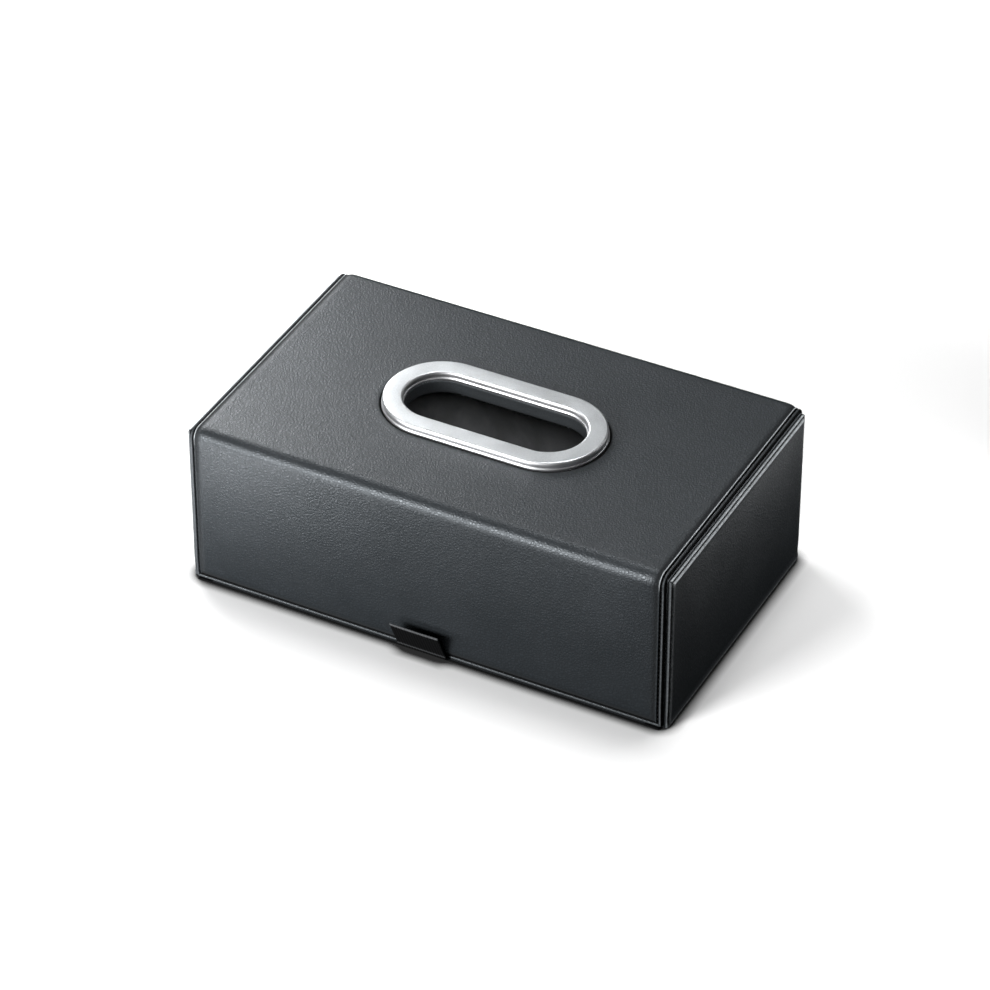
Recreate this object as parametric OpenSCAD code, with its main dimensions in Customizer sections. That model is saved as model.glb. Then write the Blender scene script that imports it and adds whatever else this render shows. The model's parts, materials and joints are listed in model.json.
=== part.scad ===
// Tissue holder for a car: a padded leather box, open at the top through a metal-rimmed slot and
// closed below by a flap. X runs along the box, -Y is the front, Z is up. Millimetres.
// The origin is the centre of the flat underside.

/* [Box] */
// Width over the two end panels' seamed edges
body_w = 222; // [180:1:280]
// Depth of an end panel
end_d = 128.5; // [110:0.5:170]
// Height of an end panel
end_h = 76; // [60:0.5:110]
// How far the padded wrap stands proud of the end panels' edges
wrap_proud = 3.2; // [2.8:0.1:5]

/* [Layers] */
// Thickness of the wrap's leather
leather_t = 1.0; // [0.8:0.1:1.4]
// Thickness of the foam under the wrap
foam_t = 2.0; // [1.5:0.1:3]
// Thickness of the front, back and end boards
wall_t = 2.5; // [2:0.1:4]
// Thickness of the top board
top_t = 3.0; // [2.5:0.1:5]
// Thickness of the lining cloth
lining_t = 0.5; // [0.3:0.1:0.8]
// Outer radius of the wrap over the long top edges
edge_r = 5.5; // [5:0.1:9]

/* [Wrap hem] */
// Width of the sewn-down hem outside the groove, at the ends
hem_w = 1.3; // [1:0.1:3]
// Height of the hem along the lower edge
foot_hem = 1.7; // [1.2:0.1:4]
// Width of the stitched groove
groove_w = 1.1; // [0.9:0.1:2]
// How far the hem lies below the padded field
hem_drop = 1.0; // [0.6:0.1:1.2]
// How far the groove's floor lies below the hem
groove_drop = 0.8; // [0.6:0.1:0.8]
// Width of a seam's thread
thread_w = 0.6; // [0.4:0.1:0.8]
// Height of a seam's thread
thread_h = 0.35; // [0.2:0.05:0.5]

/* [End panels] */
// Thickness of an end panel's outer leather at its edge
end_leather_t = 1.0; // [0.8:0.1:1.5]
// Thickness of the inner leather layer, and of the pad that it frames
binding_t = 1.0; // [0.8:0.1:2]
// Width of the inner leather layer round the pad
binding_w = 7; // [6:0.5:12]
// Distance of the seam from an end panel's edge
seam_in = 2.7; // [2.5:0.1:4]
// Distance of the padded field from an end panel's edge
field_in = 4.6; // [4.2:0.1:6]
// How far an end panel's padded field stands proud
field_proud = 0.8; // [0.2:0.1:1]

/* [Slot and ring] */
// Length of the slot
slot_l = 81.8; // [60:0.2:120]
// Width of the slot
slot_w = 32; // [20:0.2:50]
// Distance of the slot and its ring in front of the top's middle
slot_forward = 2; // [0:0.1:6]
// Thickness of the leather band that lines the slot
slot_lining_t = 1.0; // [0.6:0.1:1.5]
// Width of the ring's foot, from the slot to its outer edge
ring_band = 9.4; // [9:0.1:14]
// Height of the ring above the leather
ring_h = 3.6; // [2.4:0.1:5]
// Width of each sloping side of the ring
ring_slope = 1.1; // [1:0.1:3]
// Height of the upright edge at the ring's foot
ring_foot = 0.7; // [0.4:0.1:1]
// Diameter of a post under the ring
post_d = 4.4; // [4:0.1:5.4]
// Thickness of the plate under the top board
backplate_t = 1.2; // [0.8:0.1:2]
// Diameter of a screw's shank
screw_d = 2.4; // [2:0.1:2.5]
// Diameter of a screw's head
screw_head_d = 4.4; // [4:0.1:5.4]
// Height of a screw's head
screw_head_h = 1.4; // [1:0.1:2]
// Length of a screw's shank
screw_l = 5; // [4.5:0.1:5.5]

/* [Flap] */
// Thickness of the flap's outer leather and of its hinge strip
flap_leather_t = 0.8; // [0.6:0.1:1.1]
// Thickness of the flap's board
flap_board_t = 2.0; // [1.8:0.1:2.6]
// Length of the hinge strip from the back wall's foot onto the flap
hinge_lap = 11; // [8:0.5:20]
// Gap at the bend between the flap's board and the back wall
hinge_gap = 0.9; // [0.7:0.1:2]
// Gap between the flap's board and the walls' linings
flap_gap = 0.5; // [0.4:0.1:1.5]
// Gap between the flap's leather and the end panels
flap_side_gap = 0.6; // [0.4:0.1:2]
// Gap between the closed flap's lining and the magnet ledge
ledge_gap = 0.3; // [0.3:0.1:1]
// Depth of the magnet ledge behind the front wall
ledge_d = 12; // [11:0.5:20]
// Thickness of the magnet ledge
ledge_t = 3; // [2.5:0.1:5]
// Diameter of a magnet
magnet_d = 8; // [6:0.5:9]
// Thickness of a magnet
magnet_t = 1.5; // [1:0.1:1.6]
// Distance of the outermost magnets from the flap board's ends
magnet_inset = 14.5; // [8:0.5:20]
// Number of magnets along the ledge
magnet_n = 4; // [2, 4]

/* [Pull tab] */
// Width of the pull tab
tab_w = 22.5; // [16:0.5:36]
// Thickness of the pull tab
tab_t = 1.0; // [0.8:0.1:1.2]
// Length of the pull tab beyond its fold
tab_l = 18; // [12:0.5:25]
// Lean of the resting tab, in degrees from upright
tab_lean = 25; // [22:1:45]
// Length of the tab's tail under the flap's board
tail_l = 20; // [12:0.5:30]
// Distance of the tab's fold in front of the hem
fold_out = 0.8; // [0.8:0.1:2]
// Gap between the tab's tail and the front wall's lower edge
tab_gap = 0.3; // [0.3:0.1:1]

/* [Hidden] */
$fn = 64;
// Clearance between round pieces that fit into each other
fit_gap = 0.1;
// Clearance between the tab's fold and its tail
fold_gap = 0.3;

// Levels, from the floor up
board_top = end_h + wrap_proud - leather_t - foam_t;
wrap_top = end_h + wrap_proud;
ceiling = board_top - top_t;
flap_top = flap_leather_t + flap_board_t + lining_t;
ledge_z = flap_top + ledge_gap;
foot_gap = flap_leather_t + tab_t + tab_gap;
groove_z = foot_gap + foot_hem;
field_z = groove_z + groove_w;

// Half depths, from the outside in
wrap_y = end_d / 2 + wrap_proud;
board_y = wrap_y - leather_t - foam_t;
inner_y = board_y - wall_t;
room_y = inner_y - lining_t;

// Half widths, from the outside in
end_x = body_w / 2;
binding_x = end_x - end_leather_t;
hem_x = binding_x - binding_t;
groove_x = hem_x - hem_w;
field_x = groove_x - groove_w;
inner_x = hem_x - wall_t;
room_x = inner_x - lining_t;

// Round edge of the wrap and of what lies under it: every layer turns about one line
turn_y = wrap_y - edge_r;
turn_z = wrap_top - edge_r;

// Ring and its posts
ring_mid_w = slot_w + ring_band;
ring_mid_l = slot_l + ring_band;
post_x = (ring_mid_l - ring_mid_w) / 2;
post_low = ceiling + 0.8;
post_spots = [
    for (sx = [-1, 1]) [sx * ring_mid_l / 2, -slot_forward],
    for (sx = [-1, 1], sy = [-1, 1]) [sx * post_x, sy * ring_mid_w / 2 - slot_forward]
];

// Flap
flap_front = wrap_y - hem_drop;
flap_x = hem_x - flap_side_gap;
flap_board_x = room_x - flap_gap;
flap_board_front = room_y - flap_gap;
flap_board_back = room_y - hinge_gap;
strip_front = room_y - hinge_lap;
magnet_y = room_y - ledge_d / 2;
magnet_reach = flap_board_x - magnet_inset;
magnet_spots = [
    for (i = [0 : magnet_n - 1]) [magnet_reach * (2 * i / (magnet_n - 1) - 1), -magnet_y]
];

// Pull tab
fold_y = -(wrap_y - hem_drop + fold_out);
fold_z = flap_leather_t + tab_t / 2;

// A long shape with round ends, centred on the slot
module stadium(l, w) {
    square([l - w, w], center = true);
    for (side = [-1, 1])
        translate([side * (l - w) / 2, 0])
            circle(d = w);
}

module stadium_plate(l, w, low, high) {
    translate([0, -slot_forward, low])
        linear_extrude(height = high - low)
            stadium(l, w);
}

// A box between two corners
module block(low, high) {
    translate(low)
        cube(high - low);
}

// One cylinder at each spot, standing on the level low
module pegs(spots, d, low, high) {
    for (spot = spots)
        translate([spot[0], spot[1], low])
            cylinder(d = d, h = high - low);
}

// The wrap's outline seen from the end, drawn in to lie a depth below its padded surface
module outline(depth, low) {
    y = wrap_y - depth;
    z = wrap_top - depth;
    r = edge_r - depth;
    translate([-y, low])
        square([2 * y, turn_z - low]);
    translate([-turn_y, low])
        square([2 * turn_y, z - low]);
    for (side = [-1, 1])
        translate([side * turn_y, turn_z])
            circle(r = r);
}

// A layer over front, top and back, between two stations along the box
module over_box(from_x, to_x) {
    translate([from_x, 0, 0])
        rotate([90, 0, 90])
            linear_extrude(height = to_x - from_x)
                children();
}

// The slot and the holes for the ring's posts, cut through a layer
module slot_cut(spare) {
    stadium_plate(slot_l + 2 * spare, slot_w + 2 * spare, ceiling - 10, wrap_top + 10);
    pegs(post_spots, post_d + 2 * fit_gap, ceiling - 10, wrap_top + 10);
}

// All that lies inside the foam, with round long edges
module board_space(spare) {
    over_box(-hem_x - spare, hem_x + spare)
        outline(leather_t + foam_t, -spare);
}

module top_board() {
    color([0.55, 0.42, 0.28])
        difference() {
            intersection() {
                board_space(0);
                block([-hem_x, -board_y, ceiling], [hem_x, board_y, board_top]);
            }
            slot_cut(slot_lining_t);
        }
}

module front_board() {
    color([0.55, 0.42, 0.28])
        intersection() {
            board_space(0);
            block([-hem_x, -board_y, foot_gap], [hem_x, -inner_y, ceiling]);
        }
}

// The back board reaches down to the hinge strip that is glued under it
module back_board() {
    color([0.55, 0.42, 0.28])
        intersection() {
            board_space(0);
            block([-hem_x, inner_y, flap_leather_t], [hem_x, board_y, ceiling]);
        }
}

module end_board() {
    block([inner_x, -inner_y, foot_gap], [hem_x, inner_y, ceiling]);
}

module right_end_board() {
    color([0.55, 0.42, 0.28])
        end_board();
}

module left_end_board() {
    color([0.55, 0.42, 0.28])
        mirror([1, 0, 0])
            end_board();
}

// The space under the padded field, inside the leather that turns down round its edge
module foam_space() {
    over_box(-(field_x - leather_t), field_x - leather_t)
        outline(leather_t, field_z + leather_t);
}

module wrap_foam() {
    color([0.75, 0.75, 0.72])
        difference() {
            foam_space();
            board_space(1);
            slot_cut(slot_lining_t);
        }
}

// Padded field, groove round it and hem outside that, over the foam and the boards
module wrap_leather() {
    hem_y = wrap_y - hem_drop;
    color([0.16, 0.17, 0.18])
        difference() {
            union() {
                over_box(-field_x, field_x)
                    outline(0, field_z);
                over_box(-groove_x, groove_x)
                    outline(hem_drop + groove_drop, groove_z);
                for (side = [0, 1])
                    mirror([side, 0, 0])
                        over_box(groove_x, hem_x)
                            outline(hem_drop, groove_z);
                block([-hem_x, -hem_y, foot_gap], [hem_x, 0, groove_z]);
                block([-hem_x, 0, flap_leather_t], [hem_x, hem_y, groove_z]);
            }
            foam_space();
            board_space(1);
            slot_cut(slot_lining_t);
        }
}

module wrap_thread() {
    floor_depth = hem_drop + groove_drop;
    mid_x = (field_x + groove_x) / 2;
    mid_z = (field_z + groove_z) / 2;
    color([0.05, 0.05, 0.05])
        for (side = [0, 1]) {
            mirror([side, 0, 0])
                over_box(mid_x - thread_w / 2, mid_x + thread_w / 2)
                    difference() {
                        outline(floor_depth - thread_h, mid_z - thread_w / 2);
                        outline(floor_depth, mid_z - thread_w / 2 - 1);
                    }
            mirror([0, side, 0])
                block(
                    [-(mid_x - thread_w / 2), -(wrap_y - floor_depth + thread_h), mid_z - thread_w / 2],
                    [mid_x - thread_w / 2, -(wrap_y - floor_depth), mid_z + thread_w / 2]
                );
        }
}

// The end panel's outline, drawn in by a margin, between two stations along the box
module end_plate(margin, from_x, to_x) {
    block(
        [from_x, -(end_d / 2 - margin), margin],
        [to_x, end_d / 2 - margin, end_h - margin]
    );
}

module end_frame(margin, width, from_x, to_x) {
    difference() {
        end_plate(margin, from_x, to_x);
        end_plate(margin + width, from_x - 1, to_x + 1);
    }
}

module right_end_binding() {
    color([0.13, 0.13, 0.14])
        end_frame(0, binding_w, hem_x, binding_x);
}

module left_end_binding() {
    mirror([1, 0, 0])
        right_end_binding();
}

module right_end_pad() {
    color([0.75, 0.75, 0.72])
        end_plate(binding_w, hem_x, binding_x);
}

module left_end_pad() {
    mirror([1, 0, 0])
        right_end_pad();
}

module right_end_leather() {
    color([0.16, 0.17, 0.18]) {
        end_plate(0, binding_x, end_x);
        end_plate(field_in, end_x - 0.1, end_x + field_proud);
    }
}

module left_end_leather() {
    mirror([1, 0, 0])
        right_end_leather();
}

module right_end_thread() {
    color([0.05, 0.05, 0.05])
        end_frame(seam_in - thread_w / 2, thread_w, end_x, end_x + thread_h);
}

module left_end_thread() {
    mirror([1, 0, 0])
        right_end_thread();
}

module wall_lining() {
    color([0.1, 0.1, 0.1])
        difference() {
            block([-inner_x, -inner_y, foot_gap], [inner_x, inner_y, ceiling - lining_t]);
            block([-room_x, -room_y, foot_gap - 1], [room_x, room_y, ceiling]);
        }
}

module top_lining() {
    color([0.1, 0.1, 0.1])
        difference() {
            block([-inner_x, -inner_y, ceiling - lining_t], [inner_x, inner_y, ceiling]);
            stadium_plate(
                slot_l + 2 * ring_band + 2 * fit_gap, slot_w + 2 * ring_band + 2 * fit_gap,
                ceiling - 10, ceiling + 10
            );
        }
}

module slot_lining() {
    outer = slot_lining_t - fit_gap / 2;
    color([0.2, 0.2, 0.2])
        difference() {
            stadium_plate(slot_l + 2 * outer, slot_w + 2 * outer, ceiling - lining_t, wrap_top);
            stadium_plate(slot_l, slot_w, ceiling - 10, wrap_top + 10);
        }
}

// One side of the ring's section, seen along its run: foot, slope, flat top, slope, foot
module ring_section() {
    half = ring_band / 2;
    flat = half - ring_slope;
    shoulder = ring_foot + 0.62 * (ring_h - ring_foot);
    mid = half - 0.34 * ring_slope;
    polygon([
        [-half, 0], [half, 0], [half, ring_foot], [mid, shoulder], [flat, ring_h],
        [-flat, ring_h], [-mid, shoulder], [-half, ring_foot]
    ]);
}

module ring_body() {
    for (side = [-1, 1]) {
        translate([side * post_x, -slot_forward, wrap_top])
            rotate([0, 0, -90 * side])
                rotate_extrude(angle = 180)
                    translate([ring_mid_w / 2, 0])
                        ring_section();
        translate([-post_x, side * ring_mid_w / 2 - slot_forward, wrap_top])
            rotate([90, 0, 90])
                linear_extrude(height = 2 * post_x)
                    ring_section();
    }
}

module slot_ring() {
    color([0.85, 0.86, 0.88])
        difference() {
            union() {
                ring_body();
                pegs(post_spots, post_d, post_low, wrap_top + 0.5);
            }
            pegs(post_spots, screw_d + fit_gap, post_low - 1, ceiling - backplate_t + screw_l + 0.3);
        }
}

module ring_backplate() {
    color([0.6, 0.6, 0.6])
        difference() {
            stadium_plate(
                slot_l + 2 * ring_band, slot_w + 2 * ring_band, ceiling - backplate_t, ceiling
            );
            stadium_plate(
                slot_l + 2 * slot_lining_t + fit_gap, slot_w + 2 * slot_lining_t + fit_gap,
                ceiling - 10, ceiling + 10
            );
            pegs(post_spots, screw_d + 2 * fit_gap, ceiling - 10, ceiling + 10);
        }
}

module ring_screws() {
    seat = ceiling - backplate_t;
    color([0.5, 0.5, 0.52]) {
        pegs(post_spots, screw_d, seat, seat + screw_l);
        difference() {
            pegs(post_spots, screw_head_d, seat - screw_head_h, seat);
            for (spot = post_spots)
                translate([spot[0], spot[1], seat - screw_head_h - 0.1])
                    for (turn = [0, 90])
                        rotate([0, 0, turn])
                            translate([-1.2, -0.25, 0])
                                cube([2.4, 0.5, 0.7]);
        }
    }
}

module magnet_ledge() {
    color([0.12, 0.12, 0.12])
        difference() {
            block([-room_x, -room_y, ledge_z], [room_x, ledge_d - room_y, ledge_z + ledge_t]);
            pegs(magnet_spots, magnet_d + fit_gap, ledge_z - 1, ledge_z + magnet_t);
        }
}

module ledge_magnets() {
    color([0.75, 0.75, 0.77])
        pegs(magnet_spots, magnet_d, ledge_z, ledge_z + magnet_t);
}

// The flap's leather runs on as this strip, glued under the back wall and under the flap's board
module hinge_strip() {
    color([0.16, 0.17, 0.18])
        block([-flap_x, strip_front, 0], [flap_x, flap_front, flap_leather_t]);
}

module flap_board() {
    low = flap_leather_t;
    high = flap_leather_t + flap_board_t;
    color([0.55, 0.42, 0.28])
        difference() {
            block([-flap_board_x, -flap_board_front, low], [flap_board_x, flap_board_back, high]);
            pegs(magnet_spots, magnet_d + fit_gap, high - magnet_t, high + 1);
            block(
                [-tab_w / 2, -flap_board_front - 1, low - 1],
                [tab_w / 2, tail_l - flap_front, low + tab_t]
            );
        }
}

module flap_leather() {
    color([0.16, 0.17, 0.18])
        block([-flap_x, -flap_front, 0], [flap_x, strip_front, flap_leather_t]);
}

module flap_lining() {
    color([0.1, 0.1, 0.1])
        block(
            [-flap_board_x, -flap_board_front, flap_top - lining_t],
            [flap_board_x, flap_board_back, flap_top]
        );
}

module flap_magnets() {
    high = flap_leather_t + flap_board_t;
    color([0.75, 0.75, 0.77])
        pegs(magnet_spots, magnet_d, high - magnet_t, high);
}

module tab_tail() {
    color([0.1, 0.1, 0.11])
        block(
            [-tab_w / 2, fold_y + tab_t / 2 + fold_gap, flap_leather_t],
            [tab_w / 2, tail_l - flap_front, flap_leather_t + tab_t]
        );
}

module pull_tab() {
    color([0.1, 0.1, 0.11])
        translate([-tab_w / 2, fold_y, fold_z])
            rotate([90, 0, 90])
                linear_extrude(tab_w) {
                    circle(d = tab_t);
                    rotate(90 + tab_lean)
                        translate([0, -tab_t / 2])
                            square([tab_l, tab_t]);
                }
}

top_board();
front_board();
back_board();
left_end_board();
right_end_board();
wrap_foam();
wrap_leather();
wrap_thread();
left_end_binding();
right_end_binding();
left_end_pad();
right_end_pad();
left_end_leather();
right_end_leather();
left_end_thread();
right_end_thread();
wall_lining();
top_lining();
slot_lining();
slot_ring();
ring_backplate();
ring_screws();
magnet_ledge();
ledge_magnets();
hinge_strip();
flap_board();
flap_leather();
flap_lining();
flap_magnets();
tab_tail();
pull_tab();
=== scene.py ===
import json
import math

import bmesh
import bpy
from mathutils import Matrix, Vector, noise


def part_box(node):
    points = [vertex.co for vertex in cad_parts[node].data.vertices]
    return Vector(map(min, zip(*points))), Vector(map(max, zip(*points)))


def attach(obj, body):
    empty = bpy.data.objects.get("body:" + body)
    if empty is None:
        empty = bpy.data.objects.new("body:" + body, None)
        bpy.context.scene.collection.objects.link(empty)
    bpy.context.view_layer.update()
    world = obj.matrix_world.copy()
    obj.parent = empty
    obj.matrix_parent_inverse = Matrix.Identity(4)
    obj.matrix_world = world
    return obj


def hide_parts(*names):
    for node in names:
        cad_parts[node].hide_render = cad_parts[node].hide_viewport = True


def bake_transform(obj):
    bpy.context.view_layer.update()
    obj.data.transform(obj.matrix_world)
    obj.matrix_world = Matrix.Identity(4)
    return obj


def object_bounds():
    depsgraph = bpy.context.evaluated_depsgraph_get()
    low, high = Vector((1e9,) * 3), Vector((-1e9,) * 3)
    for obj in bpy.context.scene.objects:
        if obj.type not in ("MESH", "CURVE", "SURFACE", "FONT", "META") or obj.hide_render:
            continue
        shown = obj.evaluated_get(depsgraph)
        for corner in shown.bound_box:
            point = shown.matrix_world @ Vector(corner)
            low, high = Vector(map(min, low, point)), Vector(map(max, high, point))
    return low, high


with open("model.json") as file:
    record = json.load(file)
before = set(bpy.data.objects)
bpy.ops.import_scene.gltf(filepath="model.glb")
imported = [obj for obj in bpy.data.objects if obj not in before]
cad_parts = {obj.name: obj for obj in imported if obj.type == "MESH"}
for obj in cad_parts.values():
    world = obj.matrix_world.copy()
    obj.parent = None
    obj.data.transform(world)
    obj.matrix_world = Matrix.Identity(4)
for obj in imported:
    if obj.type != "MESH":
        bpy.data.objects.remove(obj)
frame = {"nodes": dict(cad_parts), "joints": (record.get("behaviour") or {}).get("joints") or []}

# Car tissue holder: a padded leather box with a metal-rimmed slot on top and a magnetic flap below.
# X runs along the box, -Y is the front, Z is up. The mesh code works in millimetres.
mm = 0.001
scene = bpy.context.scene
cadLow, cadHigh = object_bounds()


def sizeOf(node):
    # lowest and highest corner of a CAD node, in millimetres
    low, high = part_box(node)
    return Vector(low) / mm, Vector(high) / mm


# small helpers for meshes

def interpolate(table, t):
    # straight lines between a table's rows, level past its ends
    if t <= table[0][0]:
        return table[0][1]
    for (t0, d0), (t1, d1) in zip(table, table[1:]):
        if t <= t1:
            return d0 + (d1 - d0) * (t - t0) / (t1 - t0)
    return table[-1][1]


def smoothStep(low, high, t):
    t = min(max((t - low) / (high - low), 0), 1)
    return t * t * (3 - 2 * t)


def smoothMin(a, b, width):
    # the smaller of two distances, rounded where they are nearly equal
    low = min(a, b)
    return low - width * math.log(1 + math.exp(-abs(a - b) / width))


def bell(offset, width, power=2):
    # 1 in the middle, falling to nothing past the width
    return math.exp(-((offset / width) ** power))


def wave(along, pitch):
    return 0.5 + 0.5 * math.cos(2 * math.pi * along / pitch)


def evenly(start, stop, step):
    count = max(1, round((stop - start) / step))
    return [start + (stop - start) * i / count for i in range(count)] + [stop]


def stepsThrough(stops, *steps):
    # even steps from stop to stop; the last step size serves all the stretches that are left
    lines = [stops[0]]
    for k, (a, b) in enumerate(zip(stops, stops[1:])):
        lines += evenly(a, b, steps[min(k, len(steps) - 1)])[1:]
    return lines


def addObject(name, data):
    thing = bpy.data.objects.new(name, data)
    scene.collection.objects.link(thing)
    return thing


def makePiece(name, points, faces, materials, body, whichMaterial=()):
    # whichMaterial has the index of each face's material, where a piece has more than one
    mesh = bpy.data.meshes.new(name)
    mesh.from_pydata([tuple(c * mm for c in p) for p in points], [], faces)
    for material in materials:
        mesh.materials.append(material)
    for face, index in zip(mesh.polygons, whichMaterial):
        face.material_index = index
    work = bmesh.new()
    work.from_mesh(mesh)
    bmesh.ops.recalc_face_normals(work, faces=work.faces)
    for face in work.faces:
        face.smooth = True
    work.to_mesh(mesh)
    work.free()
    piece = addObject(name, mesh)
    if body:
        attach(piece, body)
    return piece


def giveAttribute(piece, name, values):
    attribute = piece.data.attributes.new(name, "FLOAT", "POINT")
    attribute.data.foreach_set("value", values)


def inkAndShadeFaces(piece, values, limit=0.5):
    # faces whose corners are marked take the black ink: painted shade in grooves, creases and gaps, edge
    # paint on cut edges
    piece.data.materials.append(edgePaintAndShade)
    index = len(piece.data.materials) - 1
    for face in piece.data.polygons:
        if sum(values[k] for k in face.vertices) > limit * len(face.vertices):
            face.material_index = index


# marks painted highlights, painted shade and the faces of black ink
def markLeather(piece, paintedHighlight, shade, inkAndShade, limit=0.5):
    giveAttribute(piece, "paintedHighlight", paintedHighlight)
    giveAttribute(piece, "shade", shade)
    inkAndShadeFaces(piece, inkAndShade, limit)


def bridge(faces, loopA, loopB):
    # a band of quads between two closed loops of vertices
    for k in range(len(loopA)):
        n = (k + 1) % len(loopA)
        faces.append((loopA[k], loopA[n], loopB[n], loopB[k]))


def gridSkin(us, vs, coarseU, coarseV, bandU, bandV, place, hole=None):
    # One skin of a sheet: fine cells along its sides, large cells inside. bandU and bandV are how many
    # fine lines are kept at each side; hole skips the cells between four lines and joins them to a slot.
    index, points, faces = {}, [], []
    lastU, lastV = len(us) - 1, len(vs) - 1

    def vertex(i, j):
        if (i, j) not in index:
            index[i, j] = len(points)
            points.append(place(us[i], vs[j]))
        return index[i, j]

    def inBand(i, j):
        return i < bandU or i >= lastU - bandU or j < bandV[0] or j >= lastV - bandV[1]

    for i in range(lastU):
        for j in range(lastV):
            if inBand(i, j):
                faces.append((vertex(i, j), vertex(i + 1, j), vertex(i + 1, j + 1), vertex(i, j + 1)))

    def around(i0, i1, j0, j1):
        # every crossing of lines round a rectangle of cells
        spots = [(i, j0) for i in range(i0, i1)] + [(i1, j) for j in range(j0, j1)]
        return spots + [(i, j1) for i in range(i1, i0, -1)] + [(i0, j) for j in range(j1, j0, -1)]

    rim = [vertex(*spot) for spot in around(0, lastU, 0, lastV)]
    loop = around(*hole["i"], *hole["j"]) if hole else []
    slotRing = [vertex(*spot) for spot in loop]
    insideU = [i for i in coarseU if bandU <= i <= lastU - bandU]
    insideV = [j for j in coarseV if bandV[0] <= j <= lastV - bandV[1]]
    for i0, i1 in zip(insideU, insideU[1:]):
        for j0, j1 in zip(insideV, insideV[1:]):
            if hole and hole["i"][0] <= i0 < hole["i"][1] and hole["j"][0] <= j0 < hole["j"][1]:
                continue
            # with the vertices that fine cells put along this cell's sides
            corners = {(i0, j0), (i1, j0), (i1, j1), (i0, j1)}
            spots = [spot for spot in around(i0, i1, j0, j1) if spot in index or spot in corners]
            faces.append(tuple(vertex(*spot) for spot in spots))
    for level in range(hole["loops"] if hole else 0):
        lower = list(range(len(points), len(points) + len(loop)))
        points += [hole["edge"](us[i], vs[j], level) for i, j in loop]
        bridge(faces, slotRing, lower)
        slotRing = lower
    return points, faces, rim, slotRing


def plainSkin(us, vs, place, hole=None):
    return gridSkin(us, vs, range(len(us)), range(len(vs)), 0, (0, 0), place, hole)


def closeSkins(outer, inner):
    # joins an outer and an inner skin into one closed sheet
    points, faces, rimA, slotA = outer
    points, faces, shift = list(points), list(faces), len(outer[0])
    points += inner[0]
    faces += [tuple(reversed([shift + v for v in face])) for face in inner[1]]
    bridge(faces, rimA, [shift + v for v in inner[2]])
    bridge(faces, slotA, [shift + v for v in inner[3]])
    return points, faces


def fineLines(borders, coarse, fine):
    # Lines across a sheet: the rim's own lines at both ends, and between them large steps cut into fine
    # ones. Returns the lines and the indexes of those that the large cells use.
    low, high = borders
    lines, big = list(low), [len(low)]
    for a, b in zip(coarse, coarse[1:]):
        steps = evenly(a, b, fine)
        lines += steps[:-1]
        big.append(len(lines))
    lines.append(coarse[-1])
    lines += high
    return lines, big


def rimmedLines(low, high, rims, coarse, fine):
    # the same rim at both ends, and even large steps between
    band = rims[-1] + 1
    borders = [low + t for t in rims], [high - t for t in reversed(rims)]
    return fineLines(borders, evenly(low + band, high - band, coarse), fine)


def rimmedSheet(across, along, keepRim, outerPlace, innerPlace, outerHole=None, innerHole=None):
    # A closed sheet. Its outer skin has fine cells along the rims, its inner skin only a few of their lines.
    # across and along are each what fineLines returns.
    (us, bigU), (vs, bigV) = across, along

    def withRim(lines, big):
        last = len(lines) - 1
        return keepRim + big + [last - k for k in reversed(keepRim) if last - k > big[-1]]

    bandV = bigV[0], len(vs) - 1 - bigV[-1]
    outer = gridSkin(us, vs, bigU, bigV, bigU[0], bandV, outerPlace, outerHole)
    inner = gridSkin(us, vs, withRim(us, bigU), withRim(vs, bigV), 0, (0, 0), innerPlace, innerHole)
    return closeSkins(outer, inner)


def joinRings(faces, start, count, size, closed):
    # skins a row of vertex rings that follow each other, closed into a loop or capped at both ends
    rings = [range(start + k * size, start + (k + 1) * size) for k in range(count)]
    for ringA, ringB in zip(rings, rings[1:] + rings[:1] if closed else rings[1:]):
        bridge(faces, ringA, ringB)
    if not closed:
        faces += [tuple(rings[0]), tuple(rings[-1])]


def sweepLoop(profile, path):
    # carries a closed section of (outward, up) points round a closed path of (x, y, outward x, outward y)
    points = [(x + nx * out, y + ny * out, up) for x, y, nx, ny in path for out, up in profile]
    faces = []
    joinRings(faces, 0, len(path), len(profile), closed=True)
    return points, faces


def stadiumPath(halfRun, steps, straight=12):
    # round the line from -halfRun to halfRun: place and outward direction at each step
    path = []
    for side in (1, -1):
        for k in range(steps):
            a = math.pi * (k / steps - 0.5 * side)
            path.append((side * halfRun, slotY, math.cos(a), math.sin(a)))
        for k in range(straight):
            x = side * halfRun * (1 - 2 * k / straight)
            path.append((x, slotY, 0, float(side)))
    return path


def tube(points, faces, run, radius, up, sides=6):
    # adds a tube with narrowed ends along a run of points
    start, last = len(points), len(run) - 1
    for k, spot in enumerate(run):
        ahead = (Vector(run[min(k + 1, last)]) - Vector(run[max(k - 1, 0)])).normalized()
        side = ahead.cross(Vector(up)).normalized()
        rise = side.cross(ahead)
        size = radius * (0.45 if k in (0, last) else 1)
        for s in range(sides):
            a = 2 * math.pi * s / sides
            points.append(Vector(spot) + side * size * math.cos(a) + rise * size * math.sin(a))
    joinRings(faces, start, len(run), sides, closed=False)


# shader helpers and shared effects

def feed(tree, socket, value):
    # links another node's output, or sets a plain number or colour
    if hasattr(value, "is_linked"):
        tree.links.new(value, socket)
    elif socket.type == "RGBA":
        socket.default_value = (*value[:3], 1)
    else:
        socket.default_value = value


def addNode(tree, kind, **settings):
    node = tree.nodes.new("ShaderNode" + kind)
    for key, value in settings.items():
        if key in node.inputs and not hasattr(type(node), key):
            feed(tree, node.inputs[key], value)
        else:
            setattr(node, key, value)
    return node


def feedInOrder(tree, node, values):
    for socket, value in zip(node.inputs, values):
        feed(tree, socket, value)
    return node.outputs[0]


def maths(tree, operation, *values, clamp=False):
    return feedInOrder(tree, addNode(tree, "Math", operation=operation, use_clamp=clamp), values)


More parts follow.
